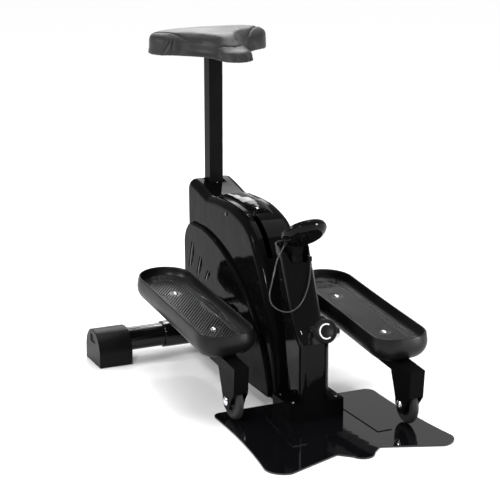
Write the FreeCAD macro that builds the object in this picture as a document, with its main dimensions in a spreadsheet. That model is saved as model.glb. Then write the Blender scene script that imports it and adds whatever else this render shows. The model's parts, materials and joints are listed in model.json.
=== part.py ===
import FreeCAD, Part
import math
import os

import Sketcher

# Compact seated elliptical stepper, in millimetres.
# +Z is up, the rider sits at +Y and looks towards -Y, and the rider's left is +X.
# The origin is on the floor, below the middle of the whole object.

# ------------------------------------------------------------------ driving dimensions
SIZES = {
    # base plate and base cover
    "plate_thick": 3, "plate_front": -390, "plate_rear": -73, "plate_rear_half": 172,
    "plate_front_half": 191, "plate_corner": 37, "plate_rear_corner": 18, "plate_side_radius": 1400,
    "notch_half": 44, "notch_y": -348, "tongue_half": 22, "tongue_y": -368, "tongue_tip": -384,
    "rib_height": 1.6, "rib_rear": -135, "rib_front": -285,
    "cover_half": 57, "cover_front": -181, "cover_rear": -100, "cover_top": 37, "cover_wall": 2.5,
    # frame tubes
    "beam_half": 20, "beam_low": 26, "beam_high": 56, "tube_wall": 2,
    "upright_half": 14, "upright_front": -158, "upright_rear": -130, "upright_top": 150,
    "stab_y": 305, "stab_z": 41.5, "stab_radius": 24.5, "stab_half": 262, "sleeve_radius": 28,
    "sleeve_half": 125, "cap_half_span": 278.4, "cap_length": 72, "cap_depth": 87, "cap_height": 69,
    "post_y": 310, "post_side": 30, "post_low": 150, "post_top": 634, "socket_side": 38,
    "socket_top": 345, "liner_length": 44, "post_wall": 1.5, "post_bolt_z": 357,
    # crank and drive
    "axle_y": 119, "axle_z": 133, "axle_radius": 8.5, "crank_radius": 75.6, "arm_thick": 9,
    "arm_inner": 63, "arm_half_width": 13, "pin_radius": 6, "bracket_radius": 18, "bracket_bore": 15,
    "bracket_right": -36, "bracket_left": 14, "bearing_width": 9, "run_gap": 0.05,
    "pulley_radius": 72, "pulley_right": 20, "pulley_width": 12, "belt_thick": 2, "belt_gap": 0.3,
    "fly_y": 195, "fly_z": 200, "fly_radius": 80, "fly_right": -22, "fly_thick": 24,
    "fly_axle_radius": 6, "fly_bearing_radius": 13, "small_pulley_radius": 14,
    # pedals
    "pedal_x": 144.6, "pedal_pitch": 4.4, "tray_half": 60, "tray_front": -306, "tray_rear": 90,
    "tray_low": 13, "tray_floor": 38, "tray_rim": 60, "tray_wall": 3, "tray_floor_thick": 4,
    "screw_middle": -115, "screw_half_pitch": 99, "pedal_tube_half": 15, "pedal_tube_high": 11,
    "pedal_tube_low": -12, "pedal_tube_rear": 26, "fork_wall": 2.5, "fork_front": 32,
    "wheel_forward": 316, "wheel_gap": 1.05, "wheel_radius": 37.5, "wheel_half": 7,
    "hub_radius": 22, "wheel_axle_radius": 5,
    # housing and tower
    "shell_half": 48, "house_wall": 3, "side_cover_half": 56, "hood_half": 24,
    "tower_half": 31, "tower_wall": 2.5,
    # console and knob
    "pod_y": -121, "pod_z": 351, "pod_radius": 44, "pod_back": 11, "pod_tilt": 40,
    "knob_y": -216, "knob_z": 189, "knob_radius": 23, "knob_thick": 15, "knob_tilt": 16,
    "knob_reach": 72,
    # seat
    "seat_half": 128, "seat_rear": 390, "seat_nose": 160, "seat_low": 632, "seat_top": 678,
    "nose_half": 34, "board_thick": 10, "head_plate_thick": 4,
}


class Size:
    """A length or an angle: its value now and the expression that gives it from the sheet."""

    def __init__(self, value, text):
        self.value = float(value)
        self.text = text

    def __add__(self, other):
        other = size(other)
        return Size(self.value + other.value, f"({self.text} + {other.text})")

    def __sub__(self, other):
        other = size(other)
        return Size(self.value - other.value, f"({self.text} - {other.text})")

    def __mul__(self, other):
        other = size(other)
        return Size(self.value * other.value, f"({self.text} * {other.text})")

    def __truediv__(self, other):
        other = size(other)
        return Size(self.value / other.value, f"({self.text} / {other.text})")

    def __neg__(self):
        return Size(-self.value, f"(-{self.text})")

    def __radd__(self, other):
        return size(other) + self

    def __rsub__(self, other):
        return size(other) - self

    def __rmul__(self, other):
        return size(other) * self


def size(amount):
    """A plain number as a Size, and a Size as it is."""
    if isinstance(amount, Size):
        return amount
    return Size(amount, f"({float(amount)})")


def sine(angle):
    """Sine of a Size that holds degrees."""
    return Size(math.sin(math.radians(angle.value)), f"sin({angle.text} * 1 deg)")


def cosine(angle):
    """Cosine of a Size that holds degrees."""
    return Size(math.cos(math.radians(angle.value)), f"cos({angle.text} * 1 deg)")


class Sheet:
    """The spreadsheet of driving dimensions: sheet.alias gives a Size bound to its cell."""

    def __init__(self, doc, sizes):
        self.cells = doc.addObject("Spreadsheet::Sheet", "Dims")
        for row, (alias, value) in enumerate(sizes.items(), start=1):
            self.cells.set(f"A{row}", alias)
            self.cells.set(f"B{row}", str(value))
            self.cells.setAlias(f"B{row}", alias)
            setattr(self, alias, Size(value, f"Dims.{alias}"))


DOC = FreeCAD.newDocument("stepper")
D = Sheet(DOC, SIZES)
DOC.recompute()
NODES = []
TURN = {
    "X": FreeCAD.Rotation(FreeCAD.Vector(0, 1, 0), 90),
    "Y": FreeCAD.Rotation(FreeCAD.Vector(1, 0, 0), -90),
    "Z": FreeCAD.Rotation(),
}


# ------------------------------------------------------------------ modelling helpers
def node(obj, label):
    """Name a finished sub-part; its label is its file's name."""
    obj.Label = label
    NODES.append(obj)
    return obj


def bind(obj, prop, amount):
    """Bind one property to the sheet."""
    obj.setExpression(prop, size(amount).text)


def place(obj, x, y, z, rotation=None):
    """Put an object at sheet-bound coordinates, turned by a fixed rotation."""
    spot = FreeCAD.Vector(size(x).value, size(y).value, size(z).value)
    obj.Placement = FreeCAD.Placement(spot, rotation or FreeCAD.Rotation())
    for axis, amount in zip("xyz", (x, y, z)):
        bind(obj, f"Placement.Base.{axis}", amount)
    return obj


def box(x, y, z):
    """A block between (low, high) pairs on the three axes."""
    obj = DOC.addObject("Part::Box", "Block")
    for prop, (low, high) in zip(("Length", "Width", "Height"), (x, y, z)):
        bind(obj, prop, size(high) - low)
    return place(obj, x[0], y[0], z[0])


def rod(axis, at, span, radius):
    """A cylinder along X, Y or Z: at gives its other two coordinates, in X, Y, Z order."""
    obj = DOC.addObject("Part::Cylinder", "Rod")
    bind(obj, "Radius", radius)
    bind(obj, "Height", size(span[1]) - span[0])
    spot = {"X": (span[0], *at), "Y": (at[0], span[0], at[1]), "Z": (*at, span[0])}[axis]
    return place(obj, *spot, TURN[axis])


def cut(base, *tools):
    """Base less every tool."""
    obj = DOC.addObject("Part::Cut", "Cut")
    obj.Base = base
    obj.Tool = tools[0] if len(tools) == 1 else fuse(*tools)
    return obj


def fuse(*parts):
    """One solid made of several."""
    obj = DOC.addObject("Part::MultiFuse", "Joined")
    obj.Shapes = list(parts)
    return obj


def common(base, tool):
    """What two solids share."""
    obj = DOC.addObject("Part::Common", "Shared")
    obj.Base = base
    obj.Tool = tool
    return obj


def group(*parts):
    """Separate solids in one node."""
    obj = DOC.addObject("Part::Compound", "Group")
    obj.Links = list(parts)
    return obj


def opposite(obj):
    """The same piece on the other side of the middle plane."""
    twin = DOC.addObject("Part::Mirroring", "Opposite")
    twin.Source = obj
    twin.Normal = (1, 0, 0)
    return twin


def ring(axis, at, span, outer, inner):
    """A tube along an axis."""
    return cut(rod(axis, at, span, outer), rod(axis, at, span, inner))


def soften(obj, radius, pick):
    """Round the edges of an object that pick accepts."""
    DOC.recompute()
    edges = [i for i, edge in enumerate(obj.Shape.Edges, start=1) if pick(edge)]
    smooth = DOC.addObject("Part::Fillet", "Rounded")
    smooth.Base = obj
    smooth.Edges = [(i, size(radius).value, size(radius).value) for i in edges]
    return smooth


def along(axis):
    """An edge picker: straight edges along one axis."""
    way = {"X": FreeCAD.Vector(1, 0, 0), "Y": FreeCAD.Vector(0, 1, 0), "Z": FreeCAD.Vector(0, 0, 1)}[axis]

    def pick(edge):
        if len(edge.Vertexes) < 2 or "Line" not in str(edge.Curve):
            return False
        run = edge.Vertexes[1].Point - edge.Vertexes[0].Point
        return run.Length > 0 and abs(run.normalize().dot(way)) > 0.999
    return pick


def at_height(level, axis="z", slack=0.01):
    """An edge picker: edges that lie wholly at one coordinate."""
    def pick(edge):
        bounds = edge.BoundBox
        low = getattr(bounds, axis.upper() + "Min")
        high = getattr(bounds, axis.upper() + "Max")
        return abs(low - size(level).value) < slack and abs(high - size(level).value) < slack
    return pick


def centre_of_arc(start, end, radius, side):
    """Centre of the arc from start to end; side 1 keeps the centre on the left of the travel."""
    mid_x = (start[0] + end[0]) / 2
    mid_y = (start[1] + end[1]) / 2
    chord = math.dist(start, end)
    rise = math.sqrt(max(radius * radius - chord * chord / 4, 0.0))
    return (mid_x - side * rise * (end[1] - start[1]) / chord,
            mid_y + side * rise * (end[0] - start[0]) / chord)


def sketch_outline(body, plane, corners, offset):
    """A closed outline, every corner and arc radius bound to the sheet.

    A corner is (a, b) for a straight run up to it, or (a, b, radius, side) for an arc up to it.
    """
    sketch = body.newObject("Sketcher::SketchObject", "Outline")
    base = [f for f in body.Origin.OriginFeatures if f.Role == plane][0]
    sketch.AttachmentSupport = [(base, "")]
    sketch.MapMode = "FlatFace"
    bind(sketch, "AttachmentOffset.Base.z", offset)
    spots = [(size(c[0]).value, size(c[1]).value) for c in corners]
    ends = []
    for i, corner in enumerate(corners):
        start = spots[i - 1]
        end = spots[i]
        if len(corner) == 2:
            line = Part.LineSegment(FreeCAD.Vector(*start, 0), FreeCAD.Vector(*end, 0))
            geo = sketch.addGeometry(line, False)
            ends.append((geo, 1, 2, None))
            continue
        radius, side = size(corner[2]).value, corner[3]
        mid = centre_of_arc(start, end, radius, side)
        circle = Part.Circle(FreeCAD.Vector(*mid, 0), FreeCAD.Vector(0, 0, 1), radius)
        first, last = (start, end) if side > 0 else (end, start)
        angles = [math.atan2(p[1] - mid[1], p[0] - mid[0]) for p in (first, last)]
        geo = sketch.addGeometry(Part.ArcOfCircle(circle, *angles), False)
        ends.append((geo, 1, 2, corner[2]) if side > 0 else (geo, 2, 1, corner[2]))
    for i, (geo, _, last, radius) in enumerate(ends):
        after, first = ends[(i + 1) % len(ends)][:2]
        sketch.addConstraint(Sketcher.Constraint("Coincident", geo, last, after, first))
        for axis, way, amount in (("x", "DistanceX", corners[i][0]), ("y", "DistanceY", corners[i][1])):
            rule = sketch.addConstraint(Sketcher.Constraint(way, geo, last, size(amount).value))
            sketch.renameConstraint(rule, f"{axis}{i}")
            bind(sketch, f"Constraints.{axis}{i}", amount)
        if radius is not None:
            rule = sketch.addConstraint(Sketcher.Constraint("Radius", geo, size(radius).value))
            sketch.renameConstraint(rule, f"r{i}")
            bind(sketch, f"Constraints.r{i}", radius)
    return sketch


def padded(plane, corners, span):
    """A body padded from an outline. Plane YZ pads along X, XY along Z, XZ along -Y."""
    body = DOC.addObject("PartDesign::Body", "Padded")
    sketch = sketch_outline(body, f"{plane}_Plane", corners, span[0])
    pad = body.newObject("PartDesign::Pad", "Pad")
    pad.Profile = sketch
    bind(pad, "Length", size(span[1]) - span[0])
    sketch.Visibility = False
    return body


def turned(corners, about="V_Axis"):
    """A body revolved in the XZ plane about its vertical (V_Axis) or its X axis (H_Axis)."""
    body = DOC.addObject("PartDesign::Body", "Turned")
    sketch = sketch_outline(body, "XZ_Plane", corners, 0)
    spin = body.newObject("PartDesign::Revolution", "Revolution")
    spin.Profile = sketch
    spin.ReferenceAxis = (sketch, [about])
    spin.Angle = 360
    return body


def mirrored(half):
    """Both halves in order: the run that reaches a corner keeps its arc when it is walked back."""
    walk = list(half[1:])
    for i in range(len(half) - 1, 0, -1):
        walk.append((-size(half[i - 1][0]), half[i - 1][1], *half[i][2:]))
    return walk


def side_span(side, low, high):
    """A span along X on one side of the middle plane."""
    return (low, high) if side > 0 else (-size(high), -size(low))


# ------------------------------------------------------------------ base
def make_base():
    """Sheet plate on the floor, the moulded cover over the joint, and the bracket inside it."""
    outline = mirrored([
        (0, D.plate_rear),
        (D.plate_rear_half - D.plate_rear_corner, D.plate_rear),
        (D.plate_rear_half, D.plate_rear - D.plate_rear_corner, D.plate_rear_corner, -1),
        (D.plate_front_half, D.plate_front + D.plate_corner, D.plate_side_radius, 1),
        (D.plate_front_half - D.plate_corner, D.plate_front, D.plate_corner, -1),
        (D.notch_half, D.notch_y),
        (D.tongue_half, D.tongue_y),
        (0, D.tongue_tip, D.tongue_half * 1.06, -1),
    ])
    plate = padded("XY", outline, (0, D.plate_thick))
    ribs = []
    for side in (1, -1):
        spots = [(68, D.rib_rear), (86, D.rib_rear), (103, D.rib_front), (73, D.rib_front)]
        corners = [(size(a) * side, b) for a, b in spots]
        ribs.append(padded("XY", corners, (D.plate_thick, D.plate_thick + D.rib_height)))
    node(fuse(plate, *ribs), "base_plate")

    wall = D.cover_wall
    shell = box((-D.cover_half, D.cover_half), (D.cover_front, D.cover_rear), (D.plate_thick, D.cover_top))
    shell = soften(shell, 4, along("Z"))
    inside = box((wall - D.cover_half, D.cover_half - wall), (D.cover_front + wall, D.cover_rear + wall),
                 (D.plate_thick - 1, D.cover_top - wall))
    mouth = box((-D.tower_half + wall, D.tower_half - wall), (D.cover_front + 9, D.cover_rear + wall),
                (D.plate_thick + 8, D.cover_top + 1))
    screws = []
    wells = []
    for x in (-46, 46):
        for y in (D.cover_front + 14, D.cover_rear - 14):
            wells.append(rod("Z", (x, y), (D.cover_top - 12, D.cover_top + 1), 1.5))
            screws.append(fuse(rod("Z", (x, y), (D.cover_top, D.cover_top + 2), 3.5),
                               rod("Z", (x, y), (D.cover_top - 12, D.cover_top), 1.5)))
    node(cut(shell, inside, mouth, *wells), "base_cover")
    for y, z in HOUSING_SCREWS:
        screws.append(fuse(rod("X", (y, z), (-D.shell_half - 2, -D.shell_half), 4),
                           rod("X", (y, z), (-D.shell_half, 4 - D.shell_half), 2)))
    node(group(*screws), "cover_screws")

    block = box((-D.beam_half - 4, D.beam_half + 4), (D.upright_front - 8, D.upright_rear + 22),
                (D.plate_thick, D.beam_low))
    hollow = box((-D.beam_half, D.beam_half), (D.upright_front - 9, D.upright_rear + 23),
                 (D.plate_thick + 4, D.beam_low - 4))
    return cut(block, hollow)


# ------------------------------------------------------------------ frame
def make_frame(bracket):
    """Upright on its bracket, main beam, rear stabiliser in its sleeve, end caps, seat socket and gussets."""
    wall = D.tube_wall
    sleeve = rod("X", (D.stab_y, D.stab_z), (-D.sleeve_half, D.sleeve_half), D.sleeve_radius)
    outer = box((-D.beam_half, D.beam_half), (D.upright_rear, D.stab_y), (D.beam_low, D.beam_high))
    inner = box((wall - D.beam_half, D.beam_half - wall), (D.upright_rear - 1, D.stab_y + 1),
                (D.beam_low + wall, D.beam_high - wall))
    node(cut(outer, inner, sleeve), "main_beam")

    half = D.upright_half
    outer = box((-half, half), (D.upright_front, D.upright_rear), (D.beam_low, D.upright_top))
    inner = box((wall - half, half - wall), (D.upright_front + wall, D.upright_rear - wall),
                (D.beam_low - 1, D.upright_top - wall))
    node(fuse(cut(outer, inner), bracket), "front_upright")

    node(ring("X", (D.stab_y, D.stab_z), (-D.stab_half, D.stab_half), D.stab_radius, D.stab_radius - wall),
         "rear_stabiliser")
    node(ring("X", (D.stab_y, D.stab_z), (-D.sleeve_half, D.sleeve_half), D.sleeve_radius,
              D.stab_radius + 0.1), "stabiliser_sleeve")
    for side, name in ((1, "left"), (-1, "right")):
        make_end_cap(side, f"end_cap_{name}")

    side = D.socket_side / 2
    gap = side - wall
    outer = box((-side, side), (D.post_y - side, D.post_y + side), (D.stab_z, D.socket_top - 3))
    inner = box((-gap, gap), (D.post_y - gap, D.post_y + gap), (D.stab_z - 1, D.socket_top + 1))
    entry = rod("Y", (0, D.socket_top - 28), (D.post_y, D.post_y + side + 1), 4.3)
    cope = rod("X", (D.stab_y, D.stab_z), (-side - 1, side + 1), D.sleeve_radius)
    gusset = [(D.post_y - side - 70, D.beam_high), (D.post_y - side - 26, D.beam_high),
              (D.post_y - side, D.stab_z + D.sleeve_radius + 6), (D.post_y - side, D.beam_high + 54)]
    node(fuse(cut(outer, inner, entry, cope), padded("YZ", gusset, (-2, 2)), make_pin_barrel()), "seat_socket")

    liner = (D.post_side / 2 + 0.3)
    tube = box((-gap, gap), (D.post_y - gap, D.post_y + gap), (D.socket_top - D.liner_length, D.socket_top - 3))
    rim = box((-side, side), (D.post_y - side, D.post_y + side), (D.socket_top - 3, D.socket_top))
    bore = box((-liner, liner), (D.post_y - liner, D.post_y + liner),
               (D.socket_top - D.liner_length - 1, D.socket_top + 1))
    entry = rod("Y", (0, D.socket_top - 28), (D.post_y, D.post_y + side + 1), 4.3)
    node(cut(fuse(tube, rim), bore, entry), "socket_liner")


def make_end_cap(side, label):
    """Moulded foot: flat below, rounded on top, bored for the stabiliser tube."""
    front = D.stab_y - D.cap_depth / 2
    rear = D.stab_y + D.cap_depth / 2
    low = D.stab_z - 12
    outline = [
        (front, 0), (rear, 0), (rear, low),
        (D.stab_y + 18, D.cap_height, 52, 1),
        (D.stab_y - 18, D.cap_height, 60, 1),
        (front, low, 52, 1),
    ]
    outer_end = D.cap_half_span
    body = padded("YZ", outline, side_span(side, outer_end - D.cap_length, outer_end))
    bore = rod("X", (D.stab_y, D.stab_z), side_span(side, outer_end - D.cap_length - 1, D.stab_half),
               D.stab_radius)
    recess = box(side_span(side, outer_end - 2.5, outer_end + 1), (D.stab_y - 13, D.stab_y + 13),
                 (D.stab_z + 4, D.stab_z + 20))
    node(cut(body, bore, recess), label)


def make_crank_bracket():
    """Shell on two gussets that carries the crank axle, with its two bearings."""
    spot = (D.axle_y, D.axle_z)
    span = (D.bracket_right, D.bracket_left)
    shell = ring("X", spot, span, D.bracket_radius, D.bracket_bore)
    gussets = []
    for x in (D.bracket_right + 20, D.bracket_left - 12):
        web = box((x, x + 4), (D.axle_y - 14, D.axle_y + 14), (D.beam_high, D.axle_z))
        gussets.append(cut(web, rod("X", spot, (x - 1, x + 5), D.bracket_radius)))
    node(fuse(shell, *gussets), "crank_shell")
    bore = D.axle_radius + D.run_gap
    bearings = [ring("X", spot, (low, low + D.bearing_width), D.bracket_bore, bore)
                for low in (D.bracket_right, D.bracket_left - D.bearing_width)]
    node(group(*bearings), "crank_bearings")


# ------------------------------------------------------------------ drive
def make_crank():
    """Axle, drive pulley, two arms half a turn apart and their pedal pins."""
    spot = (D.axle_y, D.axle_z)
    end = D.arm_inner + D.arm_thick
    step = D.axle_radius - 1.5
    core = rod("X", spot, (-D.arm_inner, D.arm_inner), D.axle_radius)
    nuts = [ring("X", spot, side_span(side, end, end + 7), 11, step) for side in (1, -1)]
    node(group(fuse(core, rod("X", spot, (-end - 9, end + 9), step)), *nuts), "crank_axle")

    disc = rod("X", spot, (D.pulley_right, D.pulley_right + D.pulley_width), D.pulley_radius)
    dish = ring("X", spot, (D.pulley_right + 7, D.pulley_right + D.pulley_width + 1),
                D.pulley_radius - 8, 20)
    holes = []
    for i in range(5):
        angle = math.radians(72 * i)
        y = D.axle_y + D.pulley_radius * (0.6 * math.cos(angle))
        z = D.axle_z + D.pulley_radius * (0.6 * math.sin(angle))
        holes.append(rod("X", (y, z), (D.pulley_right - 1, D.pulley_right + D.pulley_width + 1), 13))
    node(cut(disc, dish, rod("X", spot, (D.pulley_right - 1, D.pulley_right + D.pulley_width + 1),
                             D.axle_radius), *holes), "drive_pulley")
    pins = []
    for side, name in ((1, "left"), (-1, "right")):
        reach = -side * D.crank_radius
        half = D.arm_half_width
        span = side_span(side, D.arm_inner, end)
        pin_at = (D.axle_y + reach, D.axle_z)
        web = box(span, (D.axle_y, D.axle_y + reach) if side < 0 else (D.axle_y + reach, D.axle_y),
                  (D.axle_z - half, D.axle_z + half))
        bar = fuse(rod("X", spot, span, half + 4), web, rod("X", pin_at, span, half))
        node(cut(bar, rod("X", spot, side_span(side, D.arm_inner - 1, end + 1), step),
                 rod("X", pin_at, side_span(side, D.arm_inner - 1, end + 1), D.pin_radius)),
             f"crank_arm_{name}")
        tip = D.pedal_x + D.pedal_tube_half + 2
        pins.append(fuse(rod("X", pin_at, side_span(side, D.arm_inner, tip), D.pin_radius),
                         rod("X", pin_at, side_span(side, end, end + 6), D.pin_radius + 4),
                         rod("X", pin_at, side_span(side, tip, tip + 4), D.pin_radius + 4)))
    node(group(*pins), "pedal_pins")


def brake_pivot():
    """Centre of the brake shoe's hinge, above and ahead of the flywheel, as (y, z)."""
    reach = D.fly_radius + 12.5
    angle = Size(128, "128")
    return (D.fly_y + reach * cosine(angle), D.fly_z + reach * sine(angle))


def make_flywheel():
    """Flywheel on ball bearings with its small pulley, its fixed axle and its fork bracket."""
    spot = (D.fly_y, D.fly_z)
    left = D.fly_right + D.fly_thick
    hub_end = D.pulley_right + D.pulley_width
    bracket_right = D.fly_right - 10
    bracket_left = hub_end + 2
    foot = box((bracket_right, bracket_left), (D.fly_y - 15, D.fly_y + 15), (D.beam_high, D.beam_high + 4))
    right_web = box((bracket_right - 4, bracket_right), (D.fly_y - 15, D.fly_y + 15),
                    (D.beam_high, D.fly_z + 15))
    left_web = box((bracket_left, bracket_left + 4), (D.fly_y - 15, D.fly_y + 15),
                   (D.beam_high, D.fly_z + 15))
    bolt_hole = rod("X", spot, (bracket_right - 5, bracket_left + 5), D.fly_axle_radius)
    pivot = brake_pivot()
    arm = [(D.fly_y - 15, D.fly_z - 30), (D.fly_y + 15, D.fly_z - 30), (D.fly_y + 15, D.fly_z + 15),
           (pivot[0] + 9, pivot[1] + 6), (pivot[0] - 6, pivot[1] + 8), (pivot[0] - 9, pivot[1] - 4)]
    plate = padded("YZ", arm, (bracket_right - 4, bracket_right))
    pin = rod("X", pivot, (bracket_right, left + 8), 3)
    node(fuse(cut(fuse(foot, right_web, left_web, plate), bolt_hole), pin), "flywheel_bracket")
    axle = rod("X", spot, (bracket_right - 10, bracket_left + 10), D.fly_axle_radius)
    nuts = [ring("X", spot, span, 10, D.fly_axle_radius) for span in
            ((bracket_right - 9, bracket_right - 4), (bracket_left + 4, bracket_left + 9))]
    node(group(axle, *nuts), "flywheel_axle")

    rim = rod("X", spot, (D.fly_right, left), D.fly_radius)
    dish = ring("X", spot, (D.fly_right + 16, left + 1), D.fly_radius - 16, 20)
    back = ring("X", spot, (D.fly_right - 1, D.fly_right + 8), D.fly_radius - 16, 20)
    bore = rod("X", spot, (D.fly_right - 1, left + 1), D.fly_bearing_radius)
    wheel = cut(rim, dish, back, bore)
    inner = D.fly_axle_radius + D.run_gap
    bearings = [ring("X", spot, (low, low + 8), D.fly_bearing_radius, inner)
                for low in (D.fly_right, left - 8)]
    node(group(*bearings), "flywheel_bearings")
    small = rod("X", spot, (left, hub_end), D.small_pulley_radius - 1)
    groove = rod("X", spot, (D.pulley_right, hub_end), D.small_pulley_radius)
    pulley = cut(fuse(small, groove), rod("X", spot, (left - 1, hub_end + 1), D.fly_axle_radius + 0.5))
    node(fuse(wheel, pulley), "flywheel")


def make_belt():
    """Flat belt round both pulleys: two arcs joined by the outer tangents."""
    def loop(grow):
        big = D.pulley_radius.value + grow
        small = D.small_pulley_radius.value + grow
        run_y = D.fly_y.value - D.axle_y.value
        run_z = D.fly_z.value - D.axle_z.value
        apart = math.hypot(run_y, run_z)
        heading = math.atan2(run_z, run_y)
        open_angle = math.acos((big - small) / apart)
        spots = []
        for radius, centre in ((big, D.axle_y.value + 1j * D.axle_z.value),
                               (small, D.fly_y.value + 1j * D.fly_z.value)):
            for sign in (1, -1):
                turn = heading + sign * open_angle
                spots.append(centre + radius * complex(math.cos(turn), math.sin(turn)))
        far_big = D.axle_y.value + 1j * D.axle_z.value - big * complex(math.cos(heading), math.sin(heading))
        far_small = D.fly_y.value + 1j * D.fly_z.value + small * complex(math.cos(heading), math.sin(heading))

        def point(spot):
            return FreeCAD.Vector(0, spot.real, spot.imag)
        edges = [
            Part.Arc(point(spots[0]), point(far_big), point(spots[1])).toShape(),
            Part.LineSegment(point(spots[1]), point(spots[3])).toShape(),
            Part.Arc(point(spots[3]), point(far_small), point(spots[2])).toShape(),
            Part.LineSegment(point(spots[2]), point(spots[0])).toShape(),
        ]
        return Part.Face(Part.Wire(edges))
    gap = D.belt_gap.value
    width = D.pulley_width.value - 2
    band = loop(gap + D.belt_thick.value).cut(loop(gap)).extrude(FreeCAD.Vector(width, 0, 0))
    belt = DOC.addObject("Part::Feature", "Belt")
    belt.Shape = band
    place(belt, D.pulley_right + 1, 0, 0)
    node(belt, "drive_belt")


def arc_band(inner, outer, start, end, span):
    """A band of a ring about the flywheel's axis between two angles, in degrees from +Y."""
    band = ring("X", (D.fly_y, D.fly_z), span, outer, inner)
    reach = outer.value * 3
    spots = [FreeCAD.Vector(0, 0, 0)]
    for angle in (start, (start + end) / 2, end):
        spots.append(FreeCAD.Vector(0, reach * math.cos(math.radians(angle)),
                                    reach * math.sin(math.radians(angle))))
    wedge = DOC.addObject("Part::Feature", "Wedge")
    face = Part.Face(Part.makePolygon(spots + [spots[0]]))
    wedge.Shape = face.extrude(FreeCAD.Vector(size(span[1]).value - size(span[0]).value, 0, 0))
    place(wedge, span[0], D.fly_y, D.fly_z)
    return common(band, wedge)


def make_brake():
    """Magnet shoe over the flywheel's rim, hinged on the bracket's pin."""
    span = (D.fly_right - 3, D.fly_right + D.fly_thick + 3)
    clear = D.fly_radius + 2.5
    steel = clear + 4
    shoe = arc_band(steel, steel + 4, 52, 122, span)
    pivot = brake_pivot()
    eye = rod("X", pivot, span, 7)
    bridge = arc_band(steel, steel + 4, 118, 127, span)
    bore = rod("X", pivot, (span[0] - 1, span[1] + 1), 3 + D.run_gap)
    node(cut(fuse(shoe, bridge, eye), bore), "brake_shoe")
    magnets = [arc_band(clear, steel, low, low + 16, (span[0] + 4, span[1] - 4)) for low in (58, 80, 102)]
    node(group(*magnets), "brake_magnets")


# ------------------------------------------------------------------ pedals
def wheel_drop():
    """Distance of a wheel's axle below the pedal pin, square to the tray, to clear the plate."""
    rise = D.axle_z - D.plate_thick - D.wheel_gap - D.wheel_radius
    return (rise - D.wheel_forward * sine(D.pedal_pitch)) / cosine(D.pedal_pitch)


def pedal_spot(side):
    """Place and pitch of a pedal's own frame: its origin is on the pin, forwards is -Y."""
    turn = FreeCAD.Rotation(FreeCAD.Vector(1, 0, 0), D.pedal_pitch.value)
    return (D.pedal_x * side, D.axle_y - D.crank_radius * side, D.axle_z, turn)


def tray_outline(inset):
    """Plan of a foot tray: round heel, slightly bowed sides and a blunt round toe."""
    half = D.tray_half - inset
    front = D.tray_front + inset
    rear = D.tray_rear - inset
    toe = 34 - size(inset) * 0.5
    return mirrored([
        (0, rear),
        (half, rear - half, half, -1),
        (half, front + toe),
        (half - toe, front + 5, toe, -1),
        (0, front, 180, -1),
    ])


def make_pedal(side, word):
    """Tray with its screws, the tube under it with its bush, and the wheel fork."""
    x, y, z, turn = pedal_spot(side)
    wall = D.tray_wall
    skin = padded("XY", tray_outline(0), (D.tray_low, D.tray_rim))
    well = padded("XY", tray_outline(wall), (D.tray_floor, D.tray_rim + 1))
    under = padded("XY", tray_outline(wall), (D.tray_low - 1, D.tray_floor - D.tray_floor_thick))
    holes = []
    bosses = []
    screws = []
    for way in (1, -1):
        at = (0, D.screw_middle + D.screw_half_pitch * way)
        bosses.append(rod("Z", at, (D.pedal_tube_high, D.tray_floor - D.tray_floor_thick), 9))
        holes.append(rod("Z", at, (D.pedal_tube_high - 4, D.tray_floor + 1), 3))
        head = common(rod("Z", at, (D.tray_floor, D.tray_floor + 4), 6.5),
                      place(DOC.addObject("Part::Sphere", "Dome"), at[0], at[1], D.tray_floor - 4.5))
        head.Tool.Radius = 8
        screws.append(fuse(head, rod("Z", at, (D.pedal_tube_high - 4, D.tray_floor), 3)))
    tray = cut(fuse(cut(skin, well, under), *bosses), *holes)
    node(place(tray, x, y, z, turn), f"pedal_tray_{word}")

    half = D.pedal_tube_half
    front = -D.wheel_forward - D.fork_front
    tube = box((-half, half), (front, D.pedal_tube_rear), (D.pedal_tube_low, D.pedal_tube_high))
    bore = box((2 - half, half - 2), (front - 1, D.pedal_tube_rear + 1),
               (D.pedal_tube_low + 2, D.pedal_tube_high - 2))
    plug = box((2 - half, half - 2), (front + 0.5, front + 3), (D.pedal_tube_low + 2, D.pedal_tube_high - 2))
    crossing = rod("X", (0, 0), (-half - 1, half + 1), D.pin_radius + 2.5)
    holes = [rod("Z", (0, D.screw_middle + D.screw_half_pitch * way),
                 (D.pedal_tube_high - 4, D.pedal_tube_high + 1), 3) for way in (1, -1)]
    bush = ring("X", (0, 0), (-half - 1, half + 1), D.pin_radius + 2.5, D.pin_radius + D.run_gap)
    node(place(fuse(cut(tube, bore, crossing, *holes), plug, bush), x, y, z, turn), f"pedal_tube_{word}")
    make_fork(side, word)
    make_wheel(side, word)
    bolt = make_wheel_bolt()
    node(place(group(*screws, *bolt), x, y, z, turn), f"pedal_fasteners_{word}")


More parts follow.
